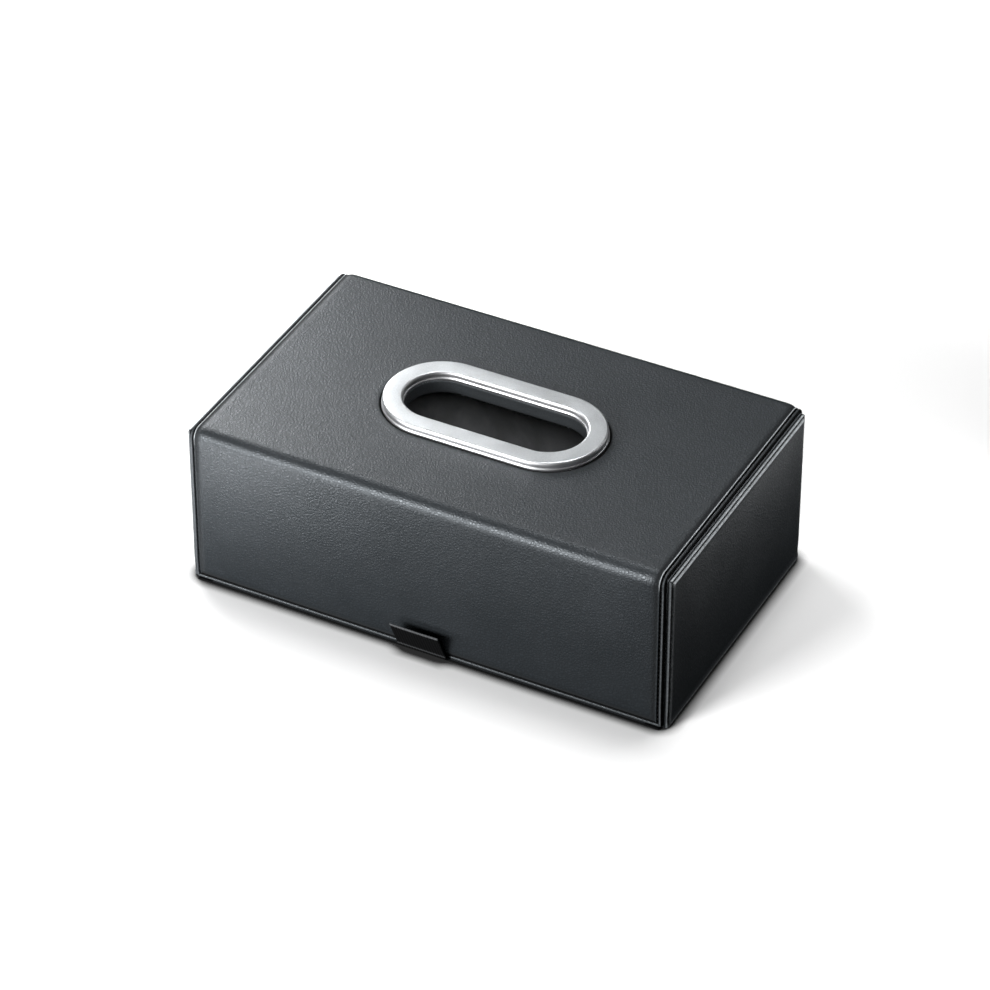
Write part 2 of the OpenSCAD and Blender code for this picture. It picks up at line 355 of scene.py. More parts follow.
def remap(tree, value, fromLow, fromHigh, toLow=0.0, toHigh=1.0):
    node = addNode(tree, "MapRange", Value=value)
    for name, number in zip(("From Min", "From Max", "To Min", "To Max"), (fromLow, fromHigh, toLow, toHigh)):
        node.inputs[name].default_value = number
    return node.outputs["Result"]


def mixColour(tree, factor, a, b):
    node = addNode(tree, "Mix", data_type="RGBA")
    for index, value in ((0, factor), (6, a), (7, b)):
        feed(tree, node.inputs[index], value)
    return node.outputs[2]


def objectPlace(tree):
    return addNode(tree, "TexCoord").outputs["Object"]


def stretched(tree, place, scale, turn=(0, 0, 0)):
    # the same place, drawn out or turned for a pattern that has a direction
    return addNode(tree, "Mapping", Vector=place, Scale=scale, Rotation=turn).outputs[0]


def noiseTexture(tree, place, **settings):
    return addNode(tree, "TexNoise", Vector=place, **settings).outputs["Fac"]


def newGroup(name, inputs, outputs):
    # a shader node group whose inputs and outputs are plain numbers
    group = bpy.data.node_groups.new(name, "ShaderNodeTree")
    for label, value in inputs.items():
        socket = group.interface.new_socket(label, in_out="INPUT", socket_type="NodeSocketFloat")
        socket.default_value = value
    for label in outputs:
        group.interface.new_socket(label, in_out="OUTPUT", socket_type="NodeSocketFloat")
    return group, group.nodes.new("NodeGroupInput").outputs, group.nodes.new("NodeGroupOutput").inputs


def useGroup(tree, group, **values):
    node = tree.nodes.new("ShaderNodeGroup")
    node.node_tree = group
    for label, value in values.items():
        node.inputs[label].default_value = value
    return node.outputs


def leatherGrainGroup():
    # embossed grain: small rounded cells parted by creases, slanted wrinkles and faint longer creases
    tree, inward, outward = newGroup(
        "leatherGrain", {"Cell": 0.0011, "Crease": 0.5, "Wrinkle": 0.4}, ["Height", "Valley", "Mottle"]
    )
    place = objectPlace(tree)
    wobble = addNode(tree, "TexNoise", Vector=place, Scale=420.0, Detail=2.0).outputs["Color"]
    moved = feedInOrder(
        tree, addNode(tree, "VectorMath", operation="MULTIPLY_ADD"), (wobble, (0.0009, 0.0009, 0.0009), place)
    )
    frequency = maths(tree, "DIVIDE", 1.0, inward["Cell"])
    cells = addNode(tree, "TexVoronoi", feature="DISTANCE_TO_EDGE", Vector=moved, Scale=frequency)
    pebble = remap(tree, cells.outputs["Distance"], 0.0, 0.32)
    fine = noiseTexture(tree, place, Scale=3400.0, Detail=3.0, Roughness=0.6)
    long = noiseTexture(tree, place, Scale=260.0, Detail=5.0, Roughness=0.62, Distortion=1.6)
    crease = remap(tree, maths(tree, "ABSOLUTE", maths(tree, "SUBTRACT", long, 0.5)), 0.0, 0.05)
    slanted = stretched(tree, place, (1.0, 1.0, 0.36), (0.0, math.radians(38), 0.0))
    wrinkle = noiseTexture(tree, slanted, Scale=760.0, Detail=1.0, Roughness=0.5, Distortion=0.3)
    folded = maths(tree, "MULTIPLY_ADD", wrinkle, inward["Wrinkle"], maths(tree, "MULTIPLY", pebble, 0.62))
    withFine = maths(tree, "MULTIPLY_ADD", fine, 0.1, folded)
    dip = maths(tree, "MULTIPLY", maths(tree, "SUBTRACT", 1.0, crease), inward["Crease"])
    feed(tree, outward["Height"], maths(tree, "SUBTRACT", withFine, dip))
    feed(tree, outward["Valley"], maths(tree, "SUBTRACT", 1.0, pebble))
    feed(tree, outward["Mottle"], noiseTexture(tree, place, Scale=38.0, Detail=4.0, Roughness=0.55))
    return tree


def markedGroup(name, attribute, speckle, roughness, evenness):
    # an effect at the places that the mesh marks, broken up by a fine speckle
    tree, inward, outward = newGroup(name, {"Amount": 1.0, "Speckle": speckle}, ["Mask"])
    marked = addNode(tree, "Attribute", attribute_name=attribute).outputs["Fac"]
    fine = noiseTexture(tree, objectPlace(tree), Scale=inward["Speckle"], Detail=3.0, Roughness=roughness)
    strength = maths(tree, "MULTIPLY", marked, inward["Amount"])
    uneven = remap(tree, fine, *evenness)
    feed(tree, outward["Mask"], maths(tree, "MULTIPLY", strength, uneven, clamp=True))
    return tree


def fineDustGroup():
    # a thin uneven film that dulls gloss here and there
    tree, inward, outward = newGroup("fineDust", {"Size": 60.0, "Amount": 0.2}, ["Mask"])
    film = noiseTexture(tree, objectPlace(tree), Scale=inward["Size"], Detail=6.0, Roughness=0.65)
    soft = remap(tree, film, 0.4, 0.7)
    feed(tree, outward["Mask"], maths(tree, "MULTIPLY", soft, inward["Amount"], clamp=True))
    return tree


leatherGrain = leatherGrainGroup()
# painted highlights on the raised edges that the mesh marks, where light falls on them
highlightOnEdges = markedGroup("highlightOnEdges", "paintedHighlight", 900.0, 0.6, (0.35, 0.65, 0.6, 1.0))
# painted shade in the grooves, creases and gaps between parts that the mesh marks
paintedShade = markedGroup("paintedShade", "shade", 700.0, 0.5, (0.3, 0.7, 0.85, 1.1))
fineDust = fineDustGroup()


def newMaterial(name, specular=0.5, **sockets):
    material = bpy.data.materials.new(name)
    material.use_nodes = True
    tree = material.node_tree
    shader = tree.nodes["Principled BSDF"]
    shader.inputs["Specular IOR Level"].default_value = specular
    for key, value in sockets.items():
        shader.inputs[key].default_value = value
    return material, tree, shader


def wire(tree, shader, colour, rough, height=None, bump=(0.0, 0.0)):
    # joins a material's colour, roughness and relief to its shader
    feed(tree, shader.inputs["Base Color"], colour)
    feed(tree, shader.inputs["Roughness"], rough)
    if height:
        relief = addNode(tree, "Bump", Strength=bump[0], Distance=bump[1], Height=height)
        feed(tree, shader.inputs["Normal"], relief.outputs["Normal"])


def leatherMaterial(name, look):
    tint = {"Specular Tint": (0.88, 0.945, 1.0, 1)}
    material, tree, shader = newMaterial(name, look["specular"], **tint)
    grain = useGroup(tree, leatherGrain, Cell=look["cell"], Crease=look["crease"])
    # painted highlight: the marked raised edges take a pale colour and less roughness
    paintedHighlight = useGroup(tree, highlightOnEdges, Amount=look["highlightAmount"])["Mask"]
    dust = useGroup(tree, fineDust, Size=45.0, Amount=look["dust"])["Mask"]
    # painted shade: the marked grooves and creases go near black and rougher
    shaded = useGroup(tree, paintedShade)["Mask"]
    toned = mixColour(tree, remap(tree, grain["Mottle"], 0.35, 0.65), look["dark"], look["colour"])
    creased = mixColour(tree, maths(tree, "MULTIPLY", grain["Valley"], 0.75), toned, look["valley"])
    highlightTone = mixColour(tree, paintedHighlight, creased, look["highlightTone"])
    base = remap(tree, grain["Valley"], 0.0, 1.0, look["rough"], look["rough"] + 0.14)
    filled = maths(tree, "MULTIPLY_ADD", shaded, 0.5, maths(tree, "ADD", base, dust))
    smooth = maths(tree, "MULTIPLY_ADD", paintedHighlight, -0.12, filled, clamp=True)
    withShade = mixColour(tree, shaded, highlightTone, (0.0008, 0.0009, 0.001))
    wire(tree, shader, withShade, smooth, grain["Height"], (look["bump"], 0.00012))
    return material


# each look's pale colour and its amount belong to the painted highlights on raised edges
boxLeather = leatherMaterial("boxLeather", {
    "colour": (0.0175, 0.0205, 0.0235), "dark": (0.014, 0.0168, 0.0192), "valley": (0.0055, 0.0065, 0.0075),
    "highlightTone": (0.72, 0.76, 0.79), "rough": 0.34, "specular": 0.5, "cell": 0.0014, "crease": 0.12,
    "bump": 0.8, "highlightAmount": 1.0, "dust": 0.04,
})
bindingLeather = leatherMaterial("bindingLeather", {
    "colour": (0.012, 0.0135, 0.015), "dark": (0.009, 0.0105, 0.012), "valley": (0.005, 0.0055, 0.006),
    "highlightTone": (0.3, 0.32, 0.34), "rough": 0.46, "specular": 0.3, "cell": 0.0009, "crease": 0.3,
    "bump": 0.5, "highlightAmount": 1.0, "dust": 0.05,
})
slotLeather = leatherMaterial("slotLeather", {
    "colour": (0.014, 0.0155, 0.017), "dark": (0.01, 0.0115, 0.013), "valley": (0.006, 0.0068, 0.0075),
    "highlightTone": (0.04, 0.043, 0.046), "rough": 0.5, "specular": 0.35, "cell": 0.001, "crease": 0.3,
    "bump": 0.4, "highlightAmount": 0.4, "dust": 0.05,
})


def noisyMaterial(name, look, **sockets):
    # two tones parted by a fine noise, under a thin film of dust
    material, tree, shader = newMaterial(name, **sockets)
    place = objectPlace(tree)
    if "stretch" in look:
        place = stretched(tree, place, look["stretch"])
    fine = noiseTexture(tree, place, **look["noise"])
    size, amount, dustColour, dulls = look["dust"]
    dust = useGroup(tree, fineDust, Size=size, Amount=amount)["Mask"]
    toned = mixColour(tree, remap(tree, fine, 0.35, 0.65), *look["tones"])
    rough = maths(tree, "MULTIPLY_ADD", dust, dulls, remap(tree, fine, 0.3, 0.7, *look["rough"]))
    wire(tree, shader, mixColour(tree, dust, toned, dustColour), rough, look["bump"] and fine, look["bump"])
    return material


# black, matt and a little patchy: painted shade in the grooves, the crease round the ring and the gaps
# between layers, and edge paint on cut edges
edgePaintAndShade = noisyMaterial("edgePaintAndShade", {
    "noise": {"Scale": 520.0, "Detail": 4.0, "Roughness": 0.6},
    "tones": ((0.0008, 0.0008, 0.0009), (0.0022, 0.0023, 0.0025)),
    "dust": (80.0, 0.1, (0.006, 0.006, 0.0065), 0.0), "rough": (0.7, 0.92), "bump": (0.4, 0.00005),
}, specular=0.06)

# flat of the ring: very fine even blasting, slight smudges
satin = noisyMaterial("satinMetal", {
    "noise": {"Scale": 2600.0, "Detail": 3.0}, "tones": ((0.5, 0.52, 0.535), (0.6, 0.625, 0.64)),
    "dust": (140.0, 0.12, (0.46, 0.48, 0.495), 1.0), "rough": (0.3, 0.4), "bump": (0.8, 0.00005),
}, Metallic=1.0)

# sides of the ring: bright, with hairlines that follow its run and faint smudges
polished = noisyMaterial("polishedMetal", {
    "stretch": (0.05, 1.0, 1.0), "noise": {"Scale": 4200.0, "Detail": 2.0},
    "tones": ((0.68, 0.69, 0.705), (0.68, 0.69, 0.705)),
    "dust": (120.0, 0.1, (0.58, 0.59, 0.605), 1.0), "rough": (0.4, 0.46), "bump": None,
}, Metallic=1.0)

# nickel on a pressed magnet: bright, with small pits and handling marks
nickel = noisyMaterial("nickelPlate", {
    "noise": {"Scale": 3000.0, "Detail": 4.0}, "tones": ((0.72, 0.7, 0.68), (0.72, 0.7, 0.68)),
    "dust": (300.0, 0.2, (0.55, 0.54, 0.53), 1.0), "rough": (0.16, 0.26), "bump": (0.15, 0.00002),
}, Metallic=1.0)


def tabMaterial():
    # black strip with faint pressed ribs across its width; painted highlights on its tip edge and on a line
    # across its foot, and slightly paler cut sides
    material, tree, shader = newMaterial("tabLeather", specular=0.14)
    grain = useGroup(tree, leatherGrain, Cell=0.0006, Crease=0.15)
    paintedHighlight = useGroup(tree, highlightOnEdges, Amount=0.9, Speckle=1600.0)["Mask"]
    toned = mixColour(tree, grain["Valley"], (0.0035, 0.0037, 0.004), (0.0015, 0.0015, 0.0017))
    edged = mixColour(tree, paintedHighlight, toned, (0.075, 0.078, 0.082))
    rough = remap(tree, grain["Valley"], 0.0, 1.0, 0.5, 0.66)
    wire(tree, shader, edged, rough, grain["Height"], (0.35, 0.00006))
    return material


def threadMaterial():
    # waxed thread: two plies wound round each other
    material, tree, shader = newMaterial("waxedThread", specular=0.12)
    place = objectPlace(tree)
    ply = addNode(
        tree, "TexWave", Vector=place, Scale=1300.0, Distortion=1.5, Detail=2.0, bands_direction="DIAGONAL"
    ).outputs["Fac"]
    fuzz = noiseTexture(tree, place, Scale=5200.0, Detail=3.0)
    tone = mixColour(tree, ply, (0.0015, 0.0015, 0.0017), (0.005, 0.005, 0.0055))
    rough = remap(tree, fuzz, 0.3, 0.7, 0.48, 0.7)
    wire(tree, shader, tone, rough, maths(tree, "ADD", ply, fuzz), (0.5, 0.00008))
    return material


def flockMaterial():
    # short black pile of the linings, brushed unevenly
    sheen = {"Sheen Weight": 0.35, "Sheen Roughness": 0.5}
    material, tree, shader = newMaterial("flockedCloth", specular=0.2, **sheen)
    place = objectPlace(tree)
    pile = noiseTexture(tree, place, Scale=2600.0, Detail=4.0, Roughness=0.7)
    brushed = noiseTexture(tree, place, Scale=70.0, Detail=3.0, Distortion=0.8)
    tone = mixColour(tree, remap(tree, brushed, 0.35, 0.65), (0.075, 0.078, 0.081), (0.12, 0.125, 0.13))
    fleck = mixColour(tree, maths(tree, "MULTIPLY", pile, 0.6), tone, (0.012, 0.012, 0.013))
    wire(tree, shader, fleck, remap(tree, pile, 0.3, 0.7, 0.85, 1.0), pile, (0.7, 0.00015))
    return material


def fibreBoardMaterial():
    # pressed brown fibreboard: long fibres and flecks; its outer ends are black, painted shade where they
    # show in the gaps between the leather layers
    shadedFrom = 0.1084  # distance from the box's middle, in metres
    material, tree, shader = newMaterial("fibreBoard", specular=0.3)
    place = objectPlace(tree)
    drawn = stretched(tree, place, (0.25, 1.0, 1.6))
    fibre = noiseTexture(tree, drawn, Scale=900.0, Detail=6.0, Roughness=0.65, Distortion=0.6)
    fleck = addNode(tree, "TexVoronoi", Vector=drawn, Scale=700.0).outputs["Distance"]
    tone = mixColour(tree, remap(tree, fibre, 0.3, 0.7), (0.2, 0.125, 0.07), (0.36, 0.25, 0.155))
    bare = mixColour(tree, remap(tree, fleck, 0.0, 0.25, 0.5, 0.0), tone, (0.11, 0.07, 0.045))
    along = addNode(tree, "SeparateXYZ", Vector=place).outputs["X"]
    shadedEnd = maths(tree, "GREATER_THAN", maths(tree, "ABSOLUTE", along), shadedFrom)
    colour = mixColour(tree, shadedEnd, bare, (0.006, 0.006, 0.0065))
    wire(tree, shader, colour, remap(tree, fibre, 0.3, 0.7, 0.75, 0.95), fibre, (0.4, 0.0001))
    return material


def foamMaterial():
    # open-cell foam: round pores in a pale grey body
    material, tree, shader = newMaterial("fineFoam", specular=0.2)
    pores = addNode(tree, "TexVoronoi", Vector=objectPlace(tree), Scale=1500.0)
    depth = remap(tree, pores.outputs["Distance"], 0.1, 0.5)
    tone = mixColour(tree, depth, (0.3, 0.3, 0.285), (0.56, 0.56, 0.53))
    wire(tree, shader, tone, remap(tree, depth, 0.0, 1.0, 0.95, 0.85), depth, (0.8, 0.0002))
    return material


def zincMaterial():
    # zinc plate: crystals of slightly different grey with fine scratches
    material, tree, shader = newMaterial("zincPlate", Metallic=1.0)
    place = objectPlace(tree)
    crystal = addNode(tree, "TexVoronoi", Vector=place, Scale=320.0).outputs["Color"]
    tint = addNode(tree, "SeparateColor", Color=crystal).outputs[0]
    scratch = noiseTexture(tree, place, Scale=2400.0, Detail=3.0)
    tone = mixColour(tree, tint, (0.46, 0.47, 0.5), (0.6, 0.61, 0.63))
    wire(tree, shader, tone, remap(tree, scratch, 0.3, 0.7, 0.28, 0.48), scratch, (0.2, 0.00003))
    return material


tabLeather = tabMaterial()
waxedThread = threadMaterial()
flock = flockMaterial()
fibreBoard = fibreBoardMaterial()
foam = foamMaterial()
zinc = zincMaterial()
print("materials made")


# sizes that the pieces share

wrapLow, wrapHigh = sizeOf("wrap_leather")
ringLow, ringHigh = sizeOf("slot_ring")
endLow, endHigh = sizeOf("right_end_leather")
bindLow, bindHigh = sizeOf("right_end_binding")
padLow, padHigh = sizeOf("right_end_pad")
flapLow, flapHigh = sizeOf("flap_leather")
stripLow, stripHigh = sizeOf("hinge_strip")
liningLow, liningHigh = sizeOf("slot_lining")
wallLow, wallHigh = sizeOf("wall_lining")
slotY = (ringLow.y + ringHigh.y) / 2
ringWide, liningWide = ringHigh.y - slotY, liningHigh.y - slotY
edgeRadius = 5.5  # of the wrap over the long top edges
leatherThick = 1.0
foamThick = 2.0
bandThick = 0.95  # of the leather band that lines the slot
coverDepth = leatherThick + foamThick
fineStep = 0.58  # along the wrap's seams, four to a stitch
panelStep = 0.625  # along those of the end panels and the flap
cellSize = 4.5  # of the large cells inside
farOff = 30  # stands for any distance that no longer matters


def ripple(x, y, z, size, amount):
    # slow unevenness of a soft surface, the same on every run
    return amount * noise.noise(Vector((x / size, y / size, z / size)) + Vector((7.3, 1.9, 4.4)))


# the wrap: leather over foam, front, top and back in one

wrap = {
    # distance from the hem's cut edge, depth below the padded surface
    "rim": [
        (0.0, 1.6), (0.05, 1.32), (0.13, 1.14), (0.28, 1.03), (0.5, 0.98), (0.8, 0.98), (0.98, 1.05),
        (1.1, 1.22), (1.18, 1.5), (1.28, 1.84), (1.42, 1.95), (1.6, 1.95), (1.72, 1.82), (1.8, 1.42),
        (1.87, 1.02), (1.95, 0.82), (2.04, 0.74), (2.16, 0.73), (2.3, 0.8), (2.48, 0.86), (2.7, 0.84),
        (3.0, 0.74), (3.4, 0.56), (3.9, 0.35), (4.5, 0.17), (5.2, 0.05), (6.4, 0.0),
    ],
    "overhang": 0.2,  # of the hem past the boards' ends
    "foot": 1.4,  # height of the front hem's lower edge
    "backHem": 0.6,  # how much wider the hem is along the back's lower edge
    "drawnOut": 0.5,  # the first part of the rim, which is drawn out to fill that
    "fieldFrom": 2.6,  # where the padded field begins, from the hem's edge
    "tabNotch": (11.7, 12.5, 0.75),  # half width, end and height of the rise over the pull tab
    "pitch": 2.3,  # from stitch to stitch
    "scallop": 0.14,  # how far each stitch draws in the edges beside it
    "pucker": 0.1,  # height of the soft folds beside the seam
    "seam": 1.51,  # where the thread lies, from the hem's edge
    "lip": 2.1,  # crest of the field's edge beside the seam
    "swell": 1.3,  # how far the padding makes the front and back bulge
    "tuck": 0.5,  # how far the front and back draw in at the foot
    "ringDip": 0.55,  # how far the ring presses the leather down round its foot
}

halfX = wrapHigh.x + wrap["overhang"]
frontFoot = wrap["foot"]
turnY = wrapHigh.y - edgeRadius
turnZ = wrapHigh.z - edgeRadius
arcLength = math.pi / 2 * edgeRadius
frontRun = turnZ - frontFoot
backRun = turnZ - wrapLow.z
topStart = frontRun + arcLength
topEnd = topStart + 2 * turnY
wrapLength = topEnd + arcLength + backRun


def onWrap(x, s, depth):
    # point of the wrap at a distance s along its path from the front's lower edge
    r = edgeRadius - depth
    if s < frontRun:
        inside, outside, rise = wrap["tabNotch"]
        lift = rise * max(1 - s / wrap["fieldFrom"], 0) * (1 - smoothStep(inside, outside, abs(x)))
        return x, -(wrapHigh.y - depth), frontFoot + s + lift
    if s < topStart:
        a = (s - frontRun) / edgeRadius
        return x, -turnY - r * math.cos(a), turnZ + r * math.sin(a)
    if s < topEnd:
        return x, -turnY + s - topStart, wrapHigh.z - depth
    if s < topEnd + arcLength:
        a = (s - topEnd) / edgeRadius
        return x, turnY + r * math.sin(a), turnZ + r * math.cos(a)
    return x, wrapHigh.y - depth, turnZ - (s - topEnd - arcLength)


def wrapReach(x, s):
    # distances from the end hem and from the nearer lower hem, as the rim's table counts them
    back, drawnOut, wider = wrapLength - s, wrap["drawnOut"], wrap["backHem"]
    back = back * drawnOut / (wider + drawnOut) if back < wider + drawnOut else back - wider
    return halfX - abs(x), min(s, back)


def ringDistance(x, y):
    # distance outside the ring's foot, on the top
    return math.hypot(max(abs(x) - (ringHigh.x - ringWide), 0), y - slotY) - ringWide


def wrapSwell(x, s):
    # bulge of the front and back walls: highest half way up, none at the seams and over the top
    run, start = min(s, wrapLength - s), wrap["fieldFrom"]
    t = min(max((run - start) / (frontRun + 0.7 * arcLength - start), 0), 1)
    tuck = wrap["tuck"] * max(1 - run / 13, 0) ** 2
    return wrap["swell"] * 4 * t * (1 - t) * smoothStep(2.4, 20, halfX - abs(x)) - tuck


def wrapDepth(x, s):
    side, foot = wrapReach(x, s)
    rim = smoothMin(side, foot, 0.22)
    depth = interpolate(wrap["rim"], rim)
    along = s if side < foot else x
    fromSeam = rim - wrap["seam"]
    depth += wrap["scallop"] * bell(fromSeam, 1.1) * (1 - bell(fromSeam, 0.35)) * wave(along, wrap["pitch"])
    px, py, pz = onWrap(x, s, 0)
    # short folds that run in from the seam and fade
    near = math.exp(-max(rim - 2.5, 0) / 5)
    fold = abs(noise.noise(Vector((along / 3.1, rim / 9, 2.7))))
    depth += wrap["pucker"] * near * fold * smoothStep(2.3, 3.4, rim)
    fromRing = ringDistance(px, py) if pz > turnZ else farOff
    depth += wrap["ringDip"] * bell(max(fromRing, -0.4) + 0.4, 0.75)
    # slow unevenness, none at the ring and the seams and little over the long top edges
    calm = smoothStep(0, 14, fromRing) * smoothStep(wrap["fieldFrom"], 7, rim)
    calm *= 1 - 0.92 * smoothStep(turnZ - 9, turnZ - 1, pz) * smoothStep(10, 3, wrapHigh.y - abs(py))
    depth += calm * (0.07 + ripple(px, py, pz, 21, 0.09) + ripple(px, py, pz, 55, 0.06))
    return depth - wrapSwell(x, s)


def stadiumEdge(x, y, halfRun, radius):
    # nearest point on the slot's outline
    centre = min(max(x, -halfRun), halfRun)
    away = Vector((x - centre, y - slotY)).normalized() * radius
    return centre + away.x, slotY + away.y


slotRun = liningHigh.x - liningWide
slotRadius = liningWide + 0.05
windowX, windowY = ringHigh.x + 7.7, ringWide + 7.6  # lines of the sheet that frame the ring
pastRing = [4.0, 2.4, 1.5, 1.0, 0.65, 0.35, 0.1, -0.2, -0.8, -3.4]
loopsOut = [ringWide + out for out in pastRing] + [slotRadius]
rimLines = [t for t, _ in wrap["rim"]]
bandWidth = rimLines[-1]
coarseX = stepsThrough([-halfX + bandWidth + 1, -windowX, windowX, halfX - bandWidth - 1], cellSize)
turnStep = 0.72  # closer lines over the long top edges
middle = (topStart + topEnd) / 2 + slotY
coarseS = stepsThrough([
    bandWidth + 1, frontRun, topStart, middle - windowY, middle + windowY, topEnd, topEnd + arcLength,
    wrapLength - bandWidth - wrap["backHem"] - 1,
], cellSize, turnStep, cellSize, cellSize, cellSize, turnStep, cellSize)
sideLines = [-halfX + t for t in rimLines]
stretch = 1 + wrap["backHem"] / wrap["drawnOut"]
backLines = [t * stretch if t < wrap["drawnOut"] else t + wrap["backHem"] for t in rimLines]
wrapAcross = fineLines((sideLines, [-x for x in reversed(sideLines)]), coarseX, fineStep)
wrapAlong = fineLines((rimLines, [wrapLength - s for s in reversed(backLines)]), coarseS, fineStep)
windowI = [wrapAcross[0].index(x) for x in (-windowX, windowX)]
windowJ = [wrapAlong[0].index(s) for s in (middle - windowY, middle + windowY)]


def wrapSheet(outerDepth, innerDepth, keepRim):
    def place(depth):
        return lambda x, s: onWrap(x, s, depth(x, s))

    def window(depth):
        def edge(x, s, level):
            ex, ey = stadiumEdge(x, s - middle + slotY, slotRun, loopsOut[level])
            return ex, ey, wrapHigh.z - depth(ex, ey + middle - slotY)
        return {"i": windowI, "j": windowJ, "loops": len(loopsOut), "edge": edge}

    return rimmedSheet(
        wrapAcross, wrapAlong, keepRim, place(outerDepth), place(innerDepth),
        window(outerDepth), window(innerDepth),
    )


def wrapUnderside(x, s):
    rim = min(wrapReach(x, s))
    return coverDepth - 0.02 - (coverDepth - leatherThick) * smoothStep(2.7, 5.0, rim) - wrapSwell(x, s)


points, faces = wrapSheet(wrapDepth, wrapUnderside, [0, 8, 13, 18])
wrapLeather = makePiece("wrapLeather", points, faces, [boxLeather], "box")


def wrapMarks(points):
    # painted highlights on the crests beside the seams and faintly on the hem; painted shade on the roll
    # beside the seams, above the front's foot and round the ring, and a darker hem strip along the top; black
    # ink as painted shade in the grooves and the crease round the ring, and as edge paint on the hem's cut
    # edge
    paintedHighlight, shade, inkAndShade = [], [], []
    for x, y, z in points:
        side, foot = halfX - abs(x), z - frontFoot if y < 0 else z - wrapLow.z - wrap["backHem"]
        rim = min(side, foot)
        high = smoothStep(turnZ - 4, wrapHigh.z - 1.6, z)
        front = 1 if y < 0 and foot < side else 0
        hem = bell(rim - 0.42, 0.35) * (0.1 if side < foot else 0.07) * (1 - high)
        paintedHighlight.append(0.85 * high * bell(side - wrap["lip"], 0.17) + hem)
        roll = 0.85 * smoothStep(2.2, 2.6, rim) * (1 - smoothStep(2.7, 5.6, rim))
        strip = 0.35 * high * smoothStep(0.1, 0.3, rim) * (1 - smoothStep(1.0, 1.2, rim))
        heel = front * smoothStep(1.0, 1.2, foot) * (1 - smoothStep(2.6, 4.8, foot))
        fromRing = ringDistance(x, y) if z > turnZ + 3 else farOff
        shade.append(min(roll + strip + heel + bell(max(fromRing, 0), 1.6), 1))
        groove = bell(rim - 1.52, 0.4, 4) + front * bell(foot - 2.2, 0.5, 4)
        inkAndShade.append(groove + bell(rim, 0.11, 4) + (1 if -2 < fromRing < 1.2 else 0))
    return paintedHighlight, shade, inkAndShade


markLeather(wrapLeather, *wrapMarks(points))
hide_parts("wrap_leather")
print("wrap leather made:", len(faces), "faces")


def foamRise(x, s):
    # top of the foam, drawn down to the board along its edges
    rim = min(wrapReach(x, s))
    return leatherThick + 0.03 + (foamThick - 0.08) * (1 - smoothStep(2.9, 5.6, rim)) - wrapSwell(x, s)


points, faces = wrapSheet(
    lambda x, s: foamRise(x, s) if min(wrapReach(x, s)) > wrap["fieldFrom"] else coverDepth - 0.04,
    lambda x, s: coverDepth - 0.01, [0],
)
wrapFoam = makePiece("wrapFoam", points, faces, [foam], "box")
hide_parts("wrap_foam")
print("wrap foam made")


# stitches

stitch = {
    "gap": 0.95,  # from the end of a stitch to the start of the next
    # share of a stitch's length, height above the seam
    "arch": [(0, -0.3), (0.1, 0.0), (0.3, 0.1), (0.5, 0.13), (0.7, 0.1), (0.9, 0.0), (1, -0.3)],
    "radius": 0.27,
    "lean": 0.1,  # how far each end lies to the side of the seam
}


def stitchRun(points, faces, place, length, pitch, width, radius=stitch["radius"]):
    # one row of stitches; place gives the point at a distance along the seam, to its side and above it
    count = int(length / pitch)
    start = (length - count * pitch + stitch["gap"]) / 2
    long = pitch - stitch["gap"]
    for k in range(count):
        run = [
            place(start + k * pitch + long * q, stitch["lean"] * (q - 0.5) * 2, rise)
            for q, rise in stitch["arch"]
        ]
        tube(points, faces, run, radius, width)


points, faces = [], []
threadDepth = 1.76
seamX = halfX - wrap["seam"]
frontSeam, backSeam = wrap["seam"], wrap["seam"] + wrap["backHem"]
seamLength = wrapLength - frontSeam - backSeam
for side in (-1, 1):
    stitchRun(
        points, faces,
        lambda d, off, up: onWrap(side * (seamX + off), frontSeam + d, threadDepth - up),
        seamLength, wrap["pitch"], (1, 0, 0),
    )
for s in (frontSeam, wrapLength - backSeam):
    stitchRun(
        points, faces,
        lambda d, off, up: onWrap(-seamX + d, s + off, threadDepth - up),
        2 * seamX, wrap["pitch"], (0, 0, 1),
    )
wrapStitches = makePiece("wrapStitches", points, faces, [waxedThread], "box")
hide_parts("wrap_thread")
print("wrap stitches made")


# end panels: leather over a pad, framed by a second layer of leather

endPanel = {
    # distance from the panel's cut edge, depth below the flat face; the field stands proud
    "rim": [
        (0.0, 0.25), (0.04, 0.0), (0.12, -0.2), (0.22, -0.31), (0.32, -0.32), (0.4, -0.2), (0.48, 0.02),
        (0.6, 0.2), (0.8, 0.26), (1.02, 0.2), (1.16, 0.0), (1.28, -0.32), (1.4, -0.62), (1.56, -0.86),
        (1.78, -0.98), (2.05, -1.0), (2.5, -0.93), (3.1, -0.87), (3.8, -0.86), (4.6, -0.89), (5.6, -0.9),
        (7.0, -0.9),
    ],
    "pitch": 2.6,  # from stitch to stitch
    "seam": 0.82,  # where the thread lies, from the cut edge
    "thread": 0.4,  # radius of the stitches
    "bead": 1.85,  # crest of the field's edge beside the stitches
    "scallop": 0.3,  # how far each stitch draws in the leather beside it
    "corner": 0.9,  # radius of the panel's corners
    "tuck": 0.5,  # how far the face draws in near its foot
    "swell": 1.2,  # how far the pad makes the face bulge
    "swellFrom": 4.5,  # where that begins, from the cut edge
}
halfY = endHigh.y
panelHigh = endHigh.z
faceX = endLow.x + leatherThick


def roundCorner(y, z, radius):
    # draws the panel's square corners in to a small radius
    a, b = halfY - abs(y), min(z, panelHigh - z)
    if a >= radius or b >= radius:
        return y, z
    p, q = radius - a, radius - b
    if p <= 0 and q <= 0:
        return y, z
    scale = max(p, q) / math.hypot(p, q)
    a, b = radius - p * scale, radius - q * scale
    return math.copysign(halfY - a, y), (b if z < panelHigh / 2 else panelHigh - b)


